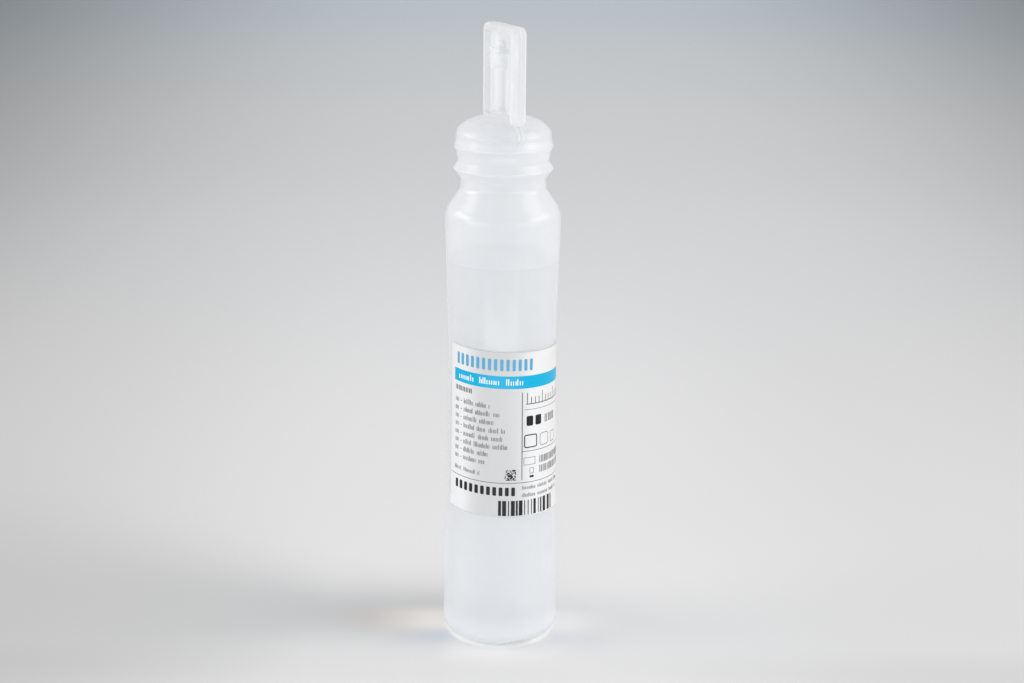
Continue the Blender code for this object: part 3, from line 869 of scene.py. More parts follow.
class BOTTLE_OT_shell(bpy.types.Operator):
    """Spins the hollow shell, pinches its base and raises the seam over its dome"""

    bl_idname = "saline_bottle.shell"
    bl_label = "Shell"

    def execute(self, context):
        settings = context.scene.saline_bottle
        levels = Levels(settings)
        base, dome, finish = settings.base, settings.dome, settings.finish
        shape = outlined(shell_outline(settings, levels))
        layer = shape.verts.layers.float.new("inside")
        outer = True
        for vert in chain_order(shape):
            vert[layer] = 0.0 if outer else 1.0
            if outer and abs(vert.co.x - dome.bore_radius) < WELD and vert.co.z > levels.dome_top:
                outer = False
        spun(shape)
        wall = settings.barrel.wall
        faces = pinch(shape, base, lambda vert: wall * vert[layer])
        weld, roof = base.weld_width / 2, base.groove_depth - base.weld_drop
        weld_end = settings.barrel.base_radius - base.heel_radius / 2
        for vert in {vert for face in faces if face.is_valid for vert in face.verts}:
            if vert[layer] < 0.5 and abs(vert.co.x) <= weld + WELD and abs(vert.co.y) < weld_end:
                vert.co.z = min(vert.co.z, roof)
        raise_seam(shape, layer, dome, levels)
        bmesh.ops.recalc_face_normals(shape, faces=shape.faces)
        material = milky_plastic(
            "milky_polyethylene",
            finish.shell,
            finish.shell_cover,
            finish.shell_gloss,
            finish.rim_cover,
            SHELL_COAT,
            shell_bands(levels),
            streaks=(levels.upper_ring_top, levels.dome_bottom + 2 * MM, 0.0, 0.17),
            seam=(levels.dome_bottom - 0.6 * MM, levels.dome_bottom + 0.4 * MM, 0.0, 0.2),
        )
        dressed(placed("blown_shell", shape), material, "bottle_body", ["bottle"])
        return {"FINISHED"}


class BOTTLE_OT_fill(bpy.types.Operator):
    """Fills the shell with saline up to its level"""

    bl_idname = "saline_bottle.fill"
    bl_label = "Saline"

    def execute(self, context):
        settings = context.scene.saline_bottle
        levels = Levels(settings)
        barrel, fill, finish = settings.barrel, settings.fill, settings.finish
        inset = barrel.wall + fill.film
        rim = barrel.radius(levels.saline + fill.meniscus, inset)
        above_heel = (barrel.radius(2 * HEEL_HEIGHT), 2 * HEEL_HEIGHT, 0.0)
        base = inset_corners([above_heel] + settings.base.corners(barrel), inset)[1:]
        climb, width = fill.meniscus, fill.meniscus_width
        surface = [
            (0.0, levels.saline, 0.0),
            (rim - width, levels.saline, width),
            (rim - width * 0.16, levels.saline + climb * 0.5, climb * 0.5),
        ]
        side = barrel.corners(levels.saline + climb, settings.base.heel_radius, inset)
        shape = spun(outlined(surface + side + base))
        pinch(shape, settings.base, lambda vert: inset)
        material = clear_liquid("clear_saline", finish.saline, finish.saline_cover)
        dressed(placed("saline_fill", shape), material, "bottle_body", ["saline"])
        return {"FINISHED"}


class BOTTLE_OT_label(bpy.types.Operator):
    """Wraps the label round the barrel"""

    bl_idname = "saline_bottle.label"
    bl_label = "Label"

    def execute(self, context):
        settings = context.scene.saline_bottle
        label, barrel, finish = settings.label, settings.barrel, settings.finish
        shape = outlined(barrel.corners(label.bottom + label.height, label.bottom, -label.lift))
        start = Matrix.Rotation(-math.pi / 2 - label.span / 2, 3, "Z")
        bmesh.ops.rotate(shape, verts=shape.verts, cent=(0.0, 0.0, 0.0), matrix=start)
        bmesh.ops.translate(shape, verts=shape.verts, vec=(0.0, 0.0, label.slant / 2))
        bmesh.ops.spin(
            shape,
            geom=shape.verts[:] + shape.edges[:],
            cent=(0.0, 0.0, 0.0),
            axis=(0.0, 0.0, 1.0),
            dvec=(0.0, 0.0, -label.slant / LABEL_STEPS),
            angle=label.span,
            steps=LABEL_STEPS,
        )
        bmesh.ops.remove_doubles(shape, verts=shape.verts, dist=WELD)
        thickened(shape, label.film)
        # The film carries painted shade, darker down its middle and lighter to its sides.
        material = printed_film("label_film", finish.film, PAINTED_LABEL_SHADE)
        dressed(placed("printed_label", shape), material, "bottle_body", ["label"])
        return {"FINISHED"}


def thickened(shape, thickness):
    """Turns an open skin that wraps the axis into a closed sheet, its new side away from the axis."""
    bmesh.ops.recalc_face_normals(shape, faces=shape.faces)
    face = max(shape.faces, key=lambda item: item.calc_area())
    middle = face.calc_center_median()
    if face.normal.dot(Vector((middle.x, middle.y, 0.0))) < 0:
        bmesh.ops.reverse_faces(shape, faces=shape.faces)
    bmesh.ops.solidify(shape, geom=shape.faces[:], thickness=-thickness)
    bmesh.ops.recalc_face_normals(shape, faces=shape.faces)


# The print. A mark is laid out flat in millimetres, X along the label from its middle and Z up from the
# ground, and then wrapped round the barrel. One degree round the barrel and half the label are this wide.
DEGREE = PRINT_RADIUS / MM * math.pi / 180
HALF_LABEL = 26

# Small marks: the share of tall strokes, how their pitch varies, the strokes in a word and the gap after it.
TALL_SHARE, LEAST_PITCH, MOST_PITCH = 0.28, 0.8, 1.25
LEAST_WORD, MOST_WORD, WORD_GAP = 7.0, 13.0, 2.2

# Kinds of small marks, as (low stroke, tall stroke, width, pitch).
PALE_MARKS = (1.3, 2.0, 0.34, 0.66)
LEADING_MARKS = (1.25, 1.25, 0.2, 0.42)
BODY_MARKS = (1.15, 1.65, 0.2, 0.42)
FOOT_MARKS = (0.95, 1.35, 0.17, 0.38)
SIDE_MARKS = (0.9, 1.3, 0.17, 0.38)
TITLE_MARKS = (1.5, 2.2, 0.3, 0.56)
TALL_MARKS = (2.6, 2.6, 0.35, 0.9)
EVEN_MARKS = (2.3, 2.3, 0.28, 0.72)

# The rows of body text: the height of the first, the pitch, and the degrees where each ends.
FIRST_ROW, ROW_PITCH = 79.6, 2.6
ROW_ENDS = (-32, -22, -25, -15.7, -18.2, -12.5, -33.8, -36.3)

# The right end of the print. Rules and blocks are (left, right, bottom, top) and a corner if it is round, and
# empty boxes have a stroke before that corner.
PRINT_EDGE = 83.0 * DEGREE
RULES = (
    (0.3, 0.55, 56.6, 84.9),
    (1.1, PRINT_EDGE, 79.2, 79.35),
    (0.4, PRINT_EDGE, 65.75, 65.95),
    (-PRINT_EDGE, PRINT_EDGE, 55.6, 55.8),
    (1.7, PRINT_EDGE, 80.9, 81.2),
)
BOXES = (
    (1.0, 5.2, 61.3, 63.8, 0.16),
    (7.1, 11.2, 66.9, 71.0, 0.2, 1.0),
    (12.6, 15.6, 66.9, 70.4, 0.2, 0.4),
    (3.1, 4.6, 58.4, 60.3, 0.16, 0.3),
)
BLOCKS = ((1.9, 4.3, 74.0, 77.2, 0.5), (5.2, 7.6, 74.0, 77.2, 0.5), (3.1, 4.6, 57.1, 57.8))

# A scale of ticks: its foot, its first tick, their pitch, width and number, and how long each fourth one and
# the others are.
TICK_FOOT, FIRST_TICK, TICK_PITCH, TICK_WIDTH, TICKS = 81.2, 2.0, 1.5, 0.28, 13
LONG_TICK, SHORT_TICK = 3.5, 2.0

# A square of random cells: its left, bottom and side, the cells along a side, and the share that is dark.
CELLS_LEFT, CELLS_BOTTOM, CELLS_SIDE, CELLS, DARK_CELLS = -5.05, 56.6, 3.5, 12, 0.52

# A run of random stripes: its left, right, bottom and top, and the widths and gaps to choose from.
STRIPES = (-7.0, 13.4, 44.95, 49.9)
STRIPE_WIDTHS = (0.3, 0.3, 0.6, 0.9, 1.2)
STRIPE_GAPS = (0.35, 0.6, 0.9)


class Sheet:
    """Marks of one ink, drawn flat and then wrapped round the label."""

    def __init__(self):
        self.shape = bmesh.new()

    def block(self, left, right, bottom, top, corner=0.0):
        """A filled rectangle, with rounded corners if asked."""
        centre = Matrix.Translation(((left + right) / 2, 0.0, (bottom + top) / 2))
        size = Matrix.Diagonal((right - left, 1.0, top - bottom, 1.0))
        place = centre @ size @ Matrix.Rotation(math.pi / 2, 4, "X")
        made = bmesh.ops.create_grid(self.shape, x_segments=1, y_segments=1, size=0.5, matrix=place)
        if corner:
            rounded(self.shape, made["verts"], corner, MARK_STEPS)

    def box(self, left, right, bottom, top, stroke, corner=0.0):
        """The outline of a rectangle."""
        before = set(self.shape.faces)
        self.block(left, right, bottom, top, corner)
        inner = [face for face in self.shape.faces if face not in before]
        bmesh.ops.inset_region(
            self.shape, faces=inner, thickness=stroke, use_even_offset=True, use_boundary=True
        )
        bmesh.ops.delete(self.shape, geom=inner, context="FACES")

    def row(self, left, right, bottom, height, count, fullness, corner):
        """A row of equal rounded bars. Fullness is the share of the row that they fill."""
        pitch = (right - left) / (count - 1 + fullness)
        for index in range(count):
            start = left + index * pitch
            self.block(start, start + pitch * fullness, bottom, bottom + height, corner)

    def word(self, draw, left, right, base, low, high, width, pitch):
        """A run of upright strokes of uneven height, as a stand-in for a word."""
        place = left
        while place + width <= right:
            tall = draw.random() < TALL_SHARE
            self.block(place, place + width, base, base + (high if tall else low))
            place += pitch * draw.uniform(LEAST_PITCH, MOST_PITCH)

    def line(self, draw, left, right, base, low, high, width, pitch):
        """A run of words with gaps between them."""
        place = left
        while place < right:
            end = min(right, place + pitch * draw.uniform(LEAST_WORD, MOST_WORD))
            self.word(draw, place, end, base, low, high, width, pitch)
            place = end + WORD_GAP * pitch

    def wrapped(self, name, label, barrel, tint, layer=0):
        """Bends the flat marks round the barrel and gives them their thickness and their ink.

        A later layer lies over another.
        """
        shape = self.shape
        over = label.ink + label.ink_gap
        cut_across(shape, shape.faces[:], [float(place) for place in range(-HALF_LABEL, HALF_LABEL + 1)])
        for vert in shape.verts:
            turn, height = vert.co.x * MM / PRINT_RADIUS, vert.co.z * MM
            radius = barrel.radius(height, -label.lift - label.film - label.ink_gap - layer * over)
            slope = label.slant * turn / label.span
            vert.co = (radius * math.sin(turn), -radius * math.cos(turn), height - slope)
        thickened(shape, label.ink)
        dressed(placed(name, shape), printed_film(name, tint), "bottle_body")


def small_marks(draw):
    """The rows of small text on the left, and the two lines at the foot on the right."""
    sheet = Sheet()
    for row, end in enumerate(ROW_ENDS):
        base = FIRST_ROW - ROW_PITCH * row
        sheet.word(draw, -75.5 * DEGREE, -69.5 * DEGREE, base, *LEADING_MARKS)
        sheet.block(-67.6 * DEGREE, -65.8 * DEGREE, base + 0.5, base + 0.68)
        sheet.line(draw, -63 * DEGREE, end * DEGREE, base, *BODY_MARKS)
    sheet.line(draw, -76 * DEGREE, -42 * DEGREE, 57.6, *FOOT_MARKS)
    sheet.line(draw, 1.6 * DEGREE, 60 * DEGREE, 53.4, *SIDE_MARKS)
    sheet.line(draw, 1.6 * DEGREE, 56 * DEGREE, 50.9, *SIDE_MARKS)
    return sheet


def ruled_marks():
    """The rules, the empty boxes and the scale of ticks."""
    sheet = Sheet()
    for rule in RULES:
        sheet.block(*rule)
    for box in BOXES:
        sheet.box(*box)
    for step in range(TICKS):
        place = FIRST_TICK + TICK_PITCH * step
        top = TICK_FOOT + (SHORT_TICK if step % 4 else LONG_TICK)
        sheet.block(place, place + TICK_WIDTH, TICK_FOOT, top)
    return sheet


def strong_marks(draw):
    """The black marks: short words, blocks, a row of bars, a square of cells and a run of stripes."""
    sheet = Sheet()
    sheet.word(draw, -75 * DEGREE, -51.5 * DEGREE, 83.4, *TITLE_MARKS)
    sheet.word(draw, 9.4, 15.0, 74.2, *TALL_MARKS)
    for base in (61.4, 58.2):
        sheet.word(draw, 7.0, 22.0, base, *EVEN_MARKS)
    for block in BLOCKS:
        sheet.block(*block)
    sheet.box(1.1, 5.9, 66.9, 71.2, 0.34, 0.7)
    sheet.row(-74 * DEGREE, -6 * DEGREE, 51.5, 2.8, 11, 0.6, 0.3)
    side = CELLS_SIDE / CELLS
    for cell in range(CELLS * CELLS):
        if draw.random() < DARK_CELLS:
            left, bottom = CELLS_LEFT + cell % CELLS * side, CELLS_BOTTOM + cell // CELLS * side
            sheet.block(left, left + side, bottom, bottom + side)
    place, end, bottom, top = STRIPES
    while place < end:
        width = draw.choice(STRIPE_WIDTHS)
        sheet.block(place, place + width, bottom, top)
        place += width + draw.choice(STRIPE_GAPS)
    return sheet


class BOTTLE_OT_print(bpy.types.Operator):
    """Prints a plain band, rules, bars and rows of meaningless marks on the label"""

    bl_idname = "saline_bottle.print"
    bl_label = "Print"

    def execute(self, context):
        settings = context.scene.saline_bottle
        label, barrel, finish = settings.label, settings.barrel, settings.finish
        draw = random.Random(label.seed)
        band, pale, headline = Sheet(), Sheet(), Sheet()
        band.block(-77.5 * DEGREE, PRINT_EDGE, 86.15, 90.15)
        pale.line(draw, -70 * DEGREE, 3 * DEGREE, 87.3, *PALE_MARKS)
        headline.row(-73 * DEGREE, 13 * DEGREE, 91.8, 3.7, 14, 0.54, 0.35)
        inks = (
            ("band_ink", band, finish.ink_cyan, 0),
            ("headline_marks", headline, finish.ink_blue, 0),
            ("fine_marks", small_marks(draw), finish.ink_grey, 0),
            ("ruled_lines", ruled_marks(), finish.ink_grey, 0),
            ("strong_marks", strong_marks(draw), finish.ink_black, 0),
            ("band_marks", pale, finish.ink_pale, 1),
        )
        for name, sheet, tint, layer in inks:
            sheet.wrapped(name, label, barrel, tint, layer)
        return {"FINISHED"}


class BOTTLE_OT_tear_ring(bpy.types.Operator):
    """Spins the thin ring that joins the nozzle and the stem"""

    bl_idname = "saline_bottle.tear_ring"
    bl_label = "Tear ring"

    def execute(self, context):
        settings = context.scene.saline_bottle
        levels = Levels(settings)
        tab, bore, finish = settings.tab, settings.dome.bore_radius, settings.finish
        spread = tab.seat_gap * RING_SPREAD
        bottom, top = levels.ring_seat - spread, levels.ring_seat + tab.ring_height + spread
        rim, middle = bore + tab.ring_wall, levels.ring_seat + tab.ring_height / 2
        edge = 0.1 * MM
        corners = [
            (bore, middle, 0.0),
            (bore, top, edge),
            (rim, top, edge),
            (rim - tab.ring_notch, middle, 1.5 * edge),
            (rim, bottom, edge),
            (bore, bottom, edge),
            (bore, middle, 0.0),
        ]
        look = (finish.tab, finish.tab_cover, finish.tab_gloss, finish.rim_cover, TAB_COAT)
        material = milky_plastic("torn_polyethylene", *look)
        piece = placed("tear_band", turned(corners))
        dressed(piece, material, "torn_ring", ["tear_ring"])
        return {"FINISHED"}


def pin(radius, bottom, top, fillet=0.0):
    """A plain turned pin, its lower edge rounded if asked."""
    return turned([(0.0, top, 0.0), (radius, top, 0.0), (radius, bottom, fillet), (0.0, bottom, 0.0)])


def combined(target, name, shape, operation):
    """Joins a mesh to a piece, or cuts it from the piece."""
    tool = placed(name, shape)
    step = target.modifiers.new(name, "BOOLEAN")
    step.operation, step.object, step.solver = operation, tool, "EXACT"
    settled(target)
    bpy.data.objects.remove(tool, do_unlink=True)


def plate(corners, half_thickness, edge_round=0.0):
    """A flat piece: its outline in the YZ plane, its thickness along X and its long edges rounded."""
    shape = bmesh.new()
    spots = [shape.verts.new((-half_thickness, across, height)) for across, height, _ in corners]
    shape.faces.new(spots)
    for spot, corner in zip(spots, corners):
        if corner[2]:
            rounded(shape, [spot], corner[2], CORNER_STEPS)
    made = bmesh.ops.extrude_face_region(shape, geom=shape.faces[:])
    moved = [item for item in made["geom"] if isinstance(item, bmesh.types.BMVert)]
    bmesh.ops.translate(shape, verts=moved, vec=(2 * half_thickness, 0.0, 0.0))
    if edge_round:
        ends = [(edge, *edge.verts) for edge in shape.edges]
        edges = [edge for edge, first, second in ends if abs(first.co.x - second.co.x) < WELD]
        rounded(shape, edges, edge_round, EDGE_STEPS, "EDGES")
    bmesh.ops.recalc_face_normals(shape, faces=shape.faces)
    return shape


def wing_corners(tab, levels, grow=0.0):
    """Outline of the wings in (Y, Z): straight sides and top, and a lower edge that follows the dome."""
    half = tab.width / 2 + grow
    foot = half - tab.wing_foot_round / 2
    lower = [foot - 2 * foot * step / WING_STEPS for step in range(WING_STEPS + 1)]
    start = levels.dome_height(half) + tab.clearance + tab.wing_foot_round
    top = levels.tab_top + grow
    corners = [(-half, start, 0.0), (-half, top, tab.corner), (half, top, tab.corner), (half, start, 0.0)]
    return corners + [(y, levels.dome_height(abs(y)) + tab.clearance - grow, 0.0) for y in lower]


def head_corners(tab, levels, small):
    """Outline of the stem's head: a low cap, a band, a groove, a drum and a taper back to the stem."""
    return [
        (0.0, levels.head_top + tab.cap_rise, 0.0),
        (tab.cap_radius, levels.head_top + tab.cap_rise, tab.cap_radius / 2),
        (tab.cap_radius, levels.head_top, small),
        (levels.head_radius, levels.head_top, small),
        (levels.head_radius, levels.head_groove + tab.head_groove, 0.0),
        (levels.head_radius - tab.head_groove, levels.head_groove, 0.0),
        (levels.head_radius, levels.head_groove - tab.head_groove, 0.0),
        (levels.head_radius, levels.head_bottom, 2 * small),
        (levels.stem_radius, levels.stem_top, 0.0),
        (0.0, levels.stem_top, 0.0),
    ]


def oval(corners, tab, levels):
    """Turns an outline of the head and stretches it along the tab's width."""
    shape = turned(corners)
    stretch = tab.head_width / (2 * levels.head_radius)
    bmesh.ops.scale(shape, verts=shape.verts, vec=(1.0, stretch, 1.0))
    return shape


def pocket(tab, levels, side):
    """What is cut away on one side of the web."""
    half, top = tab.width / 2 - tab.rim_width, levels.tab_top - tab.rim_width
    corner = tab.corner - tab.rim_width / 2
    foot = levels.dome_bottom
    corners = [(half, foot, 0.0), (half, top, corner), (-half, top, corner), (-half, foot, 0.0)]
    shape = plate(corners, tab.thickness / 2)
    shift = side * (tab.thickness + tab.web) / 2
    bmesh.ops.translate(shape, verts=shape.verts, vec=(shift, 0.0, 0.0))
    return shape


def nozzle_room(tab, levels):
    """The space round the nozzle that the tab leaves free."""
    top, root = levels.nozzle_radius + tab.seat_gap, levels.nozzle_root_radius + tab.seat_gap
    return turned(
        [
            (0.0, levels.stem_bottom, 0.0),
            (top, levels.stem_bottom, 0.0),
            (root, levels.dome_top, 0.0),
            (root, levels.dome_bottom, 0.0),
            (0.0, levels.dome_bottom, 0.0),
        ]
    )


def softened(moulding, grain):
    """Remeshes a moulding into even cells and smooths it, so that every inner corner is round."""
    remesh = moulding.modifiers.new("moulding", "REMESH")
    remesh.mode, remesh.voxel_size, remesh.adaptivity = "VOXEL", grain, 0.0
    remesh.use_smooth_shade = True
    settled(moulding)
    shape = bmesh.new()
    shape.from_mesh(moulding.data)
    axes = {"use_axis_x": True, "use_axis_y": True, "use_axis_z": True}
    for _ in range(SMOOTHINGS):
        bmesh.ops.smooth_vert(shape, verts=shape.verts, factor=0.5, **axes)
    shape.to_mesh(moulding.data)
    shape.free()


class BOTTLE_OT_tab(bpy.types.Operator):
    """Moulds the winged tab with its rim, its web and its hollow stem and head"""

    bl_idname = "saline_bottle.tab"
    bl_label = "Twist-off tab"

    def execute(self, context):
        settings = context.scene.saline_bottle
        levels = Levels(settings)
        tab, dome, finish = settings.tab, settings.dome, settings.finish
        bore, small = dome.bore_radius, dome.small_round
        edge_round = min(tab.edge_round, 0.45 * tab.thickness)
        moulding = placed("twist_tab", plate(wing_corners(tab, levels), tab.thickness / 2, edge_round))
        ridge = plate(wing_corners(tab, levels, tab.parting_rise), tab.parting_width / 2)
        stem = pin(levels.stem_radius, levels.stem_bottom, levels.head_top, small)
        hole = pin(bore, levels.stem_bottom - OVERCUT, levels.head_groove)
        head = head_corners(tab, levels, small)
        chamber = inset_corners(head, tab.chamber_wall)
        combined(moulding, "parting_line", ridge, "UNION")
        combined(moulding, "nozzle_room", nozzle_room(tab, levels), "DIFFERENCE")
        for side in (-1, 1):
            combined(moulding, "pocket", pocket(tab, levels, side), "DIFFERENCE")
        combined(moulding, "stem", stem, "UNION")
        combined(moulding, "head", oval(head, tab, levels), "UNION")
        combined(moulding, "chamber", oval(chamber, tab, levels), "DIFFERENCE")
        combined(moulding, "bore", hole, "DIFFERENCE")
        softened(moulding, tab.grain)
        top, soft = levels.tab_top, 0.2 * MM
        rim, inner = top - tab.rim_width, tab.width / 2 - tab.rim_width
        material = milky_plastic(
            "tab_polyethylene",
            finish.tab,
            finish.tab_cover,
            finish.tab_gloss,
            finish.rim_cover,
            TAB_COAT,
            [
                (top - 30 * MM, top - 16 * MM, -0.05),
                (top - 15 * MM, top - 8 * MM, -0.08),
                (rim - soft, rim + soft, -0.02),
            ],
            [(inner - 4.5 * MM, inner - 1.0 * MM, 0.1), (inner - soft, inner + soft, 0.22)],
        )
        dressed(moulding, material, "tab", ["twist_off_tab"], math.pi)
        return {"FINISHED"}


# Stage


def aimed(location, target, roll=0.0):
    """A matrix that looks from one point to another."""
    turn = (target - location).to_track_quat("-Z", "Y").to_matrix().to_4x4()
    return Matrix.Translation(location) @ turn @ Matrix.Rotation(roll, 4, "Z")


def heading(azimuth, elevation):
    """The direction from the object towards a viewer."""
    flat = math.cos(elevation)
    return Vector((math.sin(azimuth) * flat, -math.cos(azimuth) * flat, math.sin(elevation)))


# The floor's colour with distance from the bottle, as (share of the range, colour): painted light and shade,
# light round the foot, brightest about a metre out, and darker and bluer farther away. The range is in metres.
FLOOR_RANGE = 4.0
PAINTED_FLOOR_FALLOFF = (
    (0.0, (0.95, 0.95, 0.95)),
    (0.0048, (0.95, 0.95, 0.95)),
    (0.007, (0.88, 0.88, 0.88)),
    (0.013, (0.90, 0.90, 0.90)),
    (0.03, (0.89, 0.89, 0.89)),
    (0.06, (0.915, 0.915, 0.915)),
    (0.175, (0.982, 0.971, 0.966)),
    (0.29, (1.022, 1.002, 0.987)),
    (0.44, (0.97, 0.972, 0.97)),
    (0.62, (0.88, 0.915, 0.96)),
    (1.0, (0.83, 0.88, 0.925)),
)
# Tints of the painted floor light: plain, warm in the painted spill beside the foot, and cool in the painted
# streak before it.
PLAIN_TINT = (0.9, 0.9, 0.9)
PAINTED_WARM_TINT = (0.94, 0.895, 0.86)
PAINTED_COOL_TINT = (0.865, 0.895, 0.945)


def floor_finish(tint, azimuth):
    """A pale floor with painted light and shade: it darkens softly with distance, with a painted shadow and
    painted stray light beside the bottle.

    Side runs to the right and away runs back, both in metres from the bottle as the photograph shows it.
    """
    finish = Finish("studio_floor")
    between, place = finish.between, finish.place()
    x, y = finish.axes(place)[:2]
    side = x * math.cos(azimuth) + y * math.sin(azimuth)
    away = y * math.cos(azimuth) - x * math.sin(azimuth)
    reach = abs(side)
    distance = (side * side + away * away) ** 0.5
    # Painted falloff of light with distance from the bottle.
    fall = finish.add("ShaderNodeValToRGB", {"stops": PAINTED_FLOOR_FALLOFF}, {0: distance / FLOOR_RANGE})

    # A wide pool of painted light, darker towards the sides. The floor outside the camera's view stays as
    # light.
    light = finish.most(finish.peak(abs(side - 0.047) / (distance * 0.2 + 0.4), 3.0), 0.42)
    light = finish.most(light, between(reach, 1.1, 1.9, 0.0, 0.85))
    light = finish.most(light, between(away, -0.15, -0.4, 0.0, 0.92))

    # A painted soft shadow to the left, and painted shade that dims the floor on both sides and in front.
    left = finish.most(side * -1.0 - 0.06, 0.0)
    painted_shadow = between(side, -0.012, -0.02) * finish.peak(abs(away - 0.007) / (left * 0.47 + 0.0195), 3.0)
    painted_side_shade = between(side, 0.03, 0.17, 0.0, 0.09) + between(side, -0.04, -0.2, 0.0, 0.09)
    near = between(away, -0.012, -0.035)
    light = light * (1.0 - painted_shadow * finish.most(left * -0.5 + 0.2, 0.12))
    light = light * (1.0 - painted_side_shade * between(away, 0.7, 0.1) - near * 0.07)

    # Painted light beside the foot, standing for light the bottle throws there, warm on the left, and a thin
    # painted cool shadow streak before it.
    painted_spill = finish.peak(abs(away - 0.003) / 0.008, 4.0)
    painted_spill_strength = between(side, -0.046, -0.022) * between(side, -0.01, -0.018, 0.0, 0.32)
    painted_spill_strength = painted_spill_strength + between(side, 0.045, 0.018) * between(side, 0.01, 0.018, 0.0, 0.12)
    painted_streak = between(reach, 0.042, 0.02) * between(reach, 0.012, 0.018)
    painted_streak = painted_streak * finish.peak(abs(away + reach * 0.2 + 0.0061) / 0.0045, 4.0)
    painted_streak = painted_streak * between(side, 0.01, -0.01, 0.6, 1.0)
    light = light * (painted_spill * painted_spill_strength + 1.0) * (1.0 - painted_streak * 0.05)
    painted_warm_glow = painted_spill * between(side, -0.062, -0.036) * between(side, -0.01, -0.018)
    painted_tint = finish.mixed(painted_streak, finish.mixed(painted_warm_glow, PLAIN_TINT, PAINTED_WARM_TINT), PAINTED_COOL_TINT)

    # Painted light under the front of the foot: the floor glows there by emission, though it is no lamp.
    painted_foot_glow = between(distance, 0.0183, 0.0167) * between(away, 0.0, -0.012, 0.4, 1.0)
    shade = finish.multiplied(finish.multiplied(fall, tint), painted_tint)
    # The base colour carries the painted light and shadow above, and the emission the painted glow under the
    # foot.
    inputs = {
        "Base Color": finish.multiplied(shade, light),
        "Roughness": finish.noise(place, 900.0) * 0.1 + 0.6,
        "Specular IOR Level": 0.1,
        "Emission Color": finish.mixed(painted_foot_glow, (0.0, 0.0, 0.0), (1.0, 0.99, 0.97)),
        "Emission Strength": 0.19,
    }
    return finish.done(finish.add("ShaderNodeBsdfPrincipled", {}, inputs))


# Lamps as (name, degrees round from the camera, degrees up, metres away, width, height, watts, tint), the
# height on the axis that they face, and how widely they shine.
WARM = (1.0, 0.89, 0.86)
COOL = (0.97, 1.0, 1.0)
STUDIO = (
    ("left_upper_softbox", -92, 40, 0.75, 0.34, 0.24, 0.42, WARM),
    ("left_lower_softbox", -90, 20, 0.75, 0.56, 0.18, 1.12, WARM),
    ("right_upper_softbox", 84, 42, 0.75, 0.46, 0.30, 0.7, WARM),
    ("right_lower_softbox", 82, 20, 0.75, 0.60, 0.20, 1.02, WARM),
    ("front_left_fill", -50, 6, 1.2, 1.2, 0.24, 1.45, COOL),
    ("front_right_fill", 50, 6, 1.2, 1.2, 0.24, 1.1, COOL),
    ("front_low_fill", 0, -20, 0.2, 0.26, 0.04, 0.07, COOL),
)
LIT_HEIGHT = 0.1
LAMP_SPREAD = math.radians(150)

# The world's colour and strength, the radius of the floor, and the width of the camera's film in millimetres.
SKY, SKY_STRENGTH = (0.955, 0.98, 1.0, 1.0), 0.68
FLOOR_RADIUS = 9.0
SENSOR_WIDTH = 36.0


def lamp(name, azimuth, elevation, distance, width, height, energy, tint):
    """A soft rectangular lamp with a grid, which faces the bottle."""
    light = bpy.data.lights.new(name, "AREA")
    light.shape, light.size, light.size_y = "RECTANGLE", width, height
    light.energy, light.color, light.spread = energy, tint, LAMP_SPREAD
    made = bpy.data.objects.new(name, light)
    target = Vector((0.0, 0.0, LIT_HEIGHT))
    made.matrix_world = aimed(target + heading(azimuth, elevation) * distance, target)
    bpy.context.scene.collection.objects.link(made)


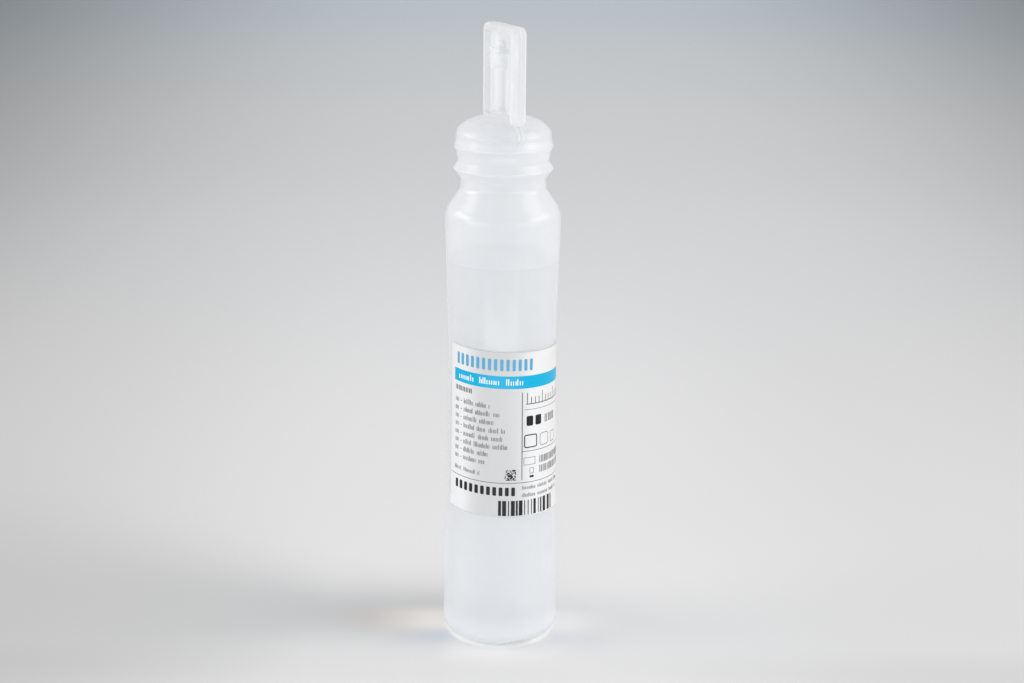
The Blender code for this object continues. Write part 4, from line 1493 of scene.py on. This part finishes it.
class BOTTLE_OT_stage(bpy.types.Operator):
    """Sets the floor, the lamps, the world and the camera"""

    bl_idname = "saline_bottle.stage"
    bl_label = "Stage"

    def execute(self, context):
        scene = context.scene
        stage = scene.saline_bottle.stage
        right = Vector((math.cos(stage.azimuth), math.sin(stage.azimuth), 0.0))
        aim = Vector((0.0, 0.0, stage.aim_height)) + right * stage.aim_side
        lens = bpy.data.cameras.new("photo_camera")
        lens.lens, lens.sensor_width, lens.sensor_fit = stage.lens, SENSOR_WIDTH, "HORIZONTAL"
        lens.clip_start, lens.clip_end = 0.02, 50.0
        camera = bpy.data.objects.new("photo_camera", lens)
        scene.collection.objects.link(camera)
        back = heading(stage.azimuth, stage.pitch)
        camera.matrix_world = aimed(aim + back * stage.distance, aim, stage.roll)
        scene.camera = camera
        shape = bmesh.new()
        bmesh.ops.create_circle(shape, cap_ends=True, segments=FLOOR_STEPS, radius=FLOOR_RADIUS)
        floor = placed("studio_floor", shape)
        floor.data.materials.append(floor_finish(stage.floor_colour, stage.azimuth))
        for name, turn, rise, *rest in STUDIO:
            lamp(name, stage.azimuth + math.radians(turn), math.radians(rise), *rest)
        world = bpy.data.worlds.new("studio")
        world.use_nodes = True
        background = world.node_tree.nodes["Background"]
        background.inputs["Color"].default_value = SKY
        background.inputs["Strength"].default_value = SKY_STRENGTH
        scene.world = world
        scene.view_settings.view_transform = "Standard"
        return {"FINISHED"}


class BOTTLE_PT_panel(bpy.types.Panel):
    """Lists the bottle's pieces in the sidebar"""

    bl_idname = "BOTTLE_PT_panel"
    bl_label = "Saline bottle"
    bl_space_type = "VIEW_3D"
    bl_region_type = "UI"
    bl_category = "Bottle"

    def draw(self, context):
        for operator in OPERATORS:
            self.layout.operator(operator.bl_idname)


SETTINGS = (
    BarrelSettings,
    BaseSettings,
    NeckSettings,
    DomeSettings,
    TabSettings,
    LabelSettings,
    FillSettings,
    FinishSettings,
    StageSettings,
    SalineBottleSettings,
)
OPERATORS = (
    BOTTLE_OT_shell,
    BOTTLE_OT_fill,
    BOTTLE_OT_label,
    BOTTLE_OT_print,
    BOTTLE_OT_tear_ring,
    BOTTLE_OT_tab,
    BOTTLE_OT_stage,
)


def register():
    for kind in SETTINGS + OPERATORS + (BOTTLE_PT_panel,):
        bpy.utils.register_class(kind)
    bpy.types.Scene.saline_bottle = bpy.props.PointerProperty(type=SalineBottleSettings)


def unregister():
    del bpy.types.Scene.saline_bottle
    for kind in reversed(SETTINGS + OPERATORS + (BOTTLE_PT_panel,)):
        bpy.utils.unregister_class(kind)


def main():
    register()
    for operator in OPERATORS:
        group, name = operator.bl_idname.split(".")
        getattr(getattr(bpy.ops, group), name)()


if __name__ == "__main__":
    main()
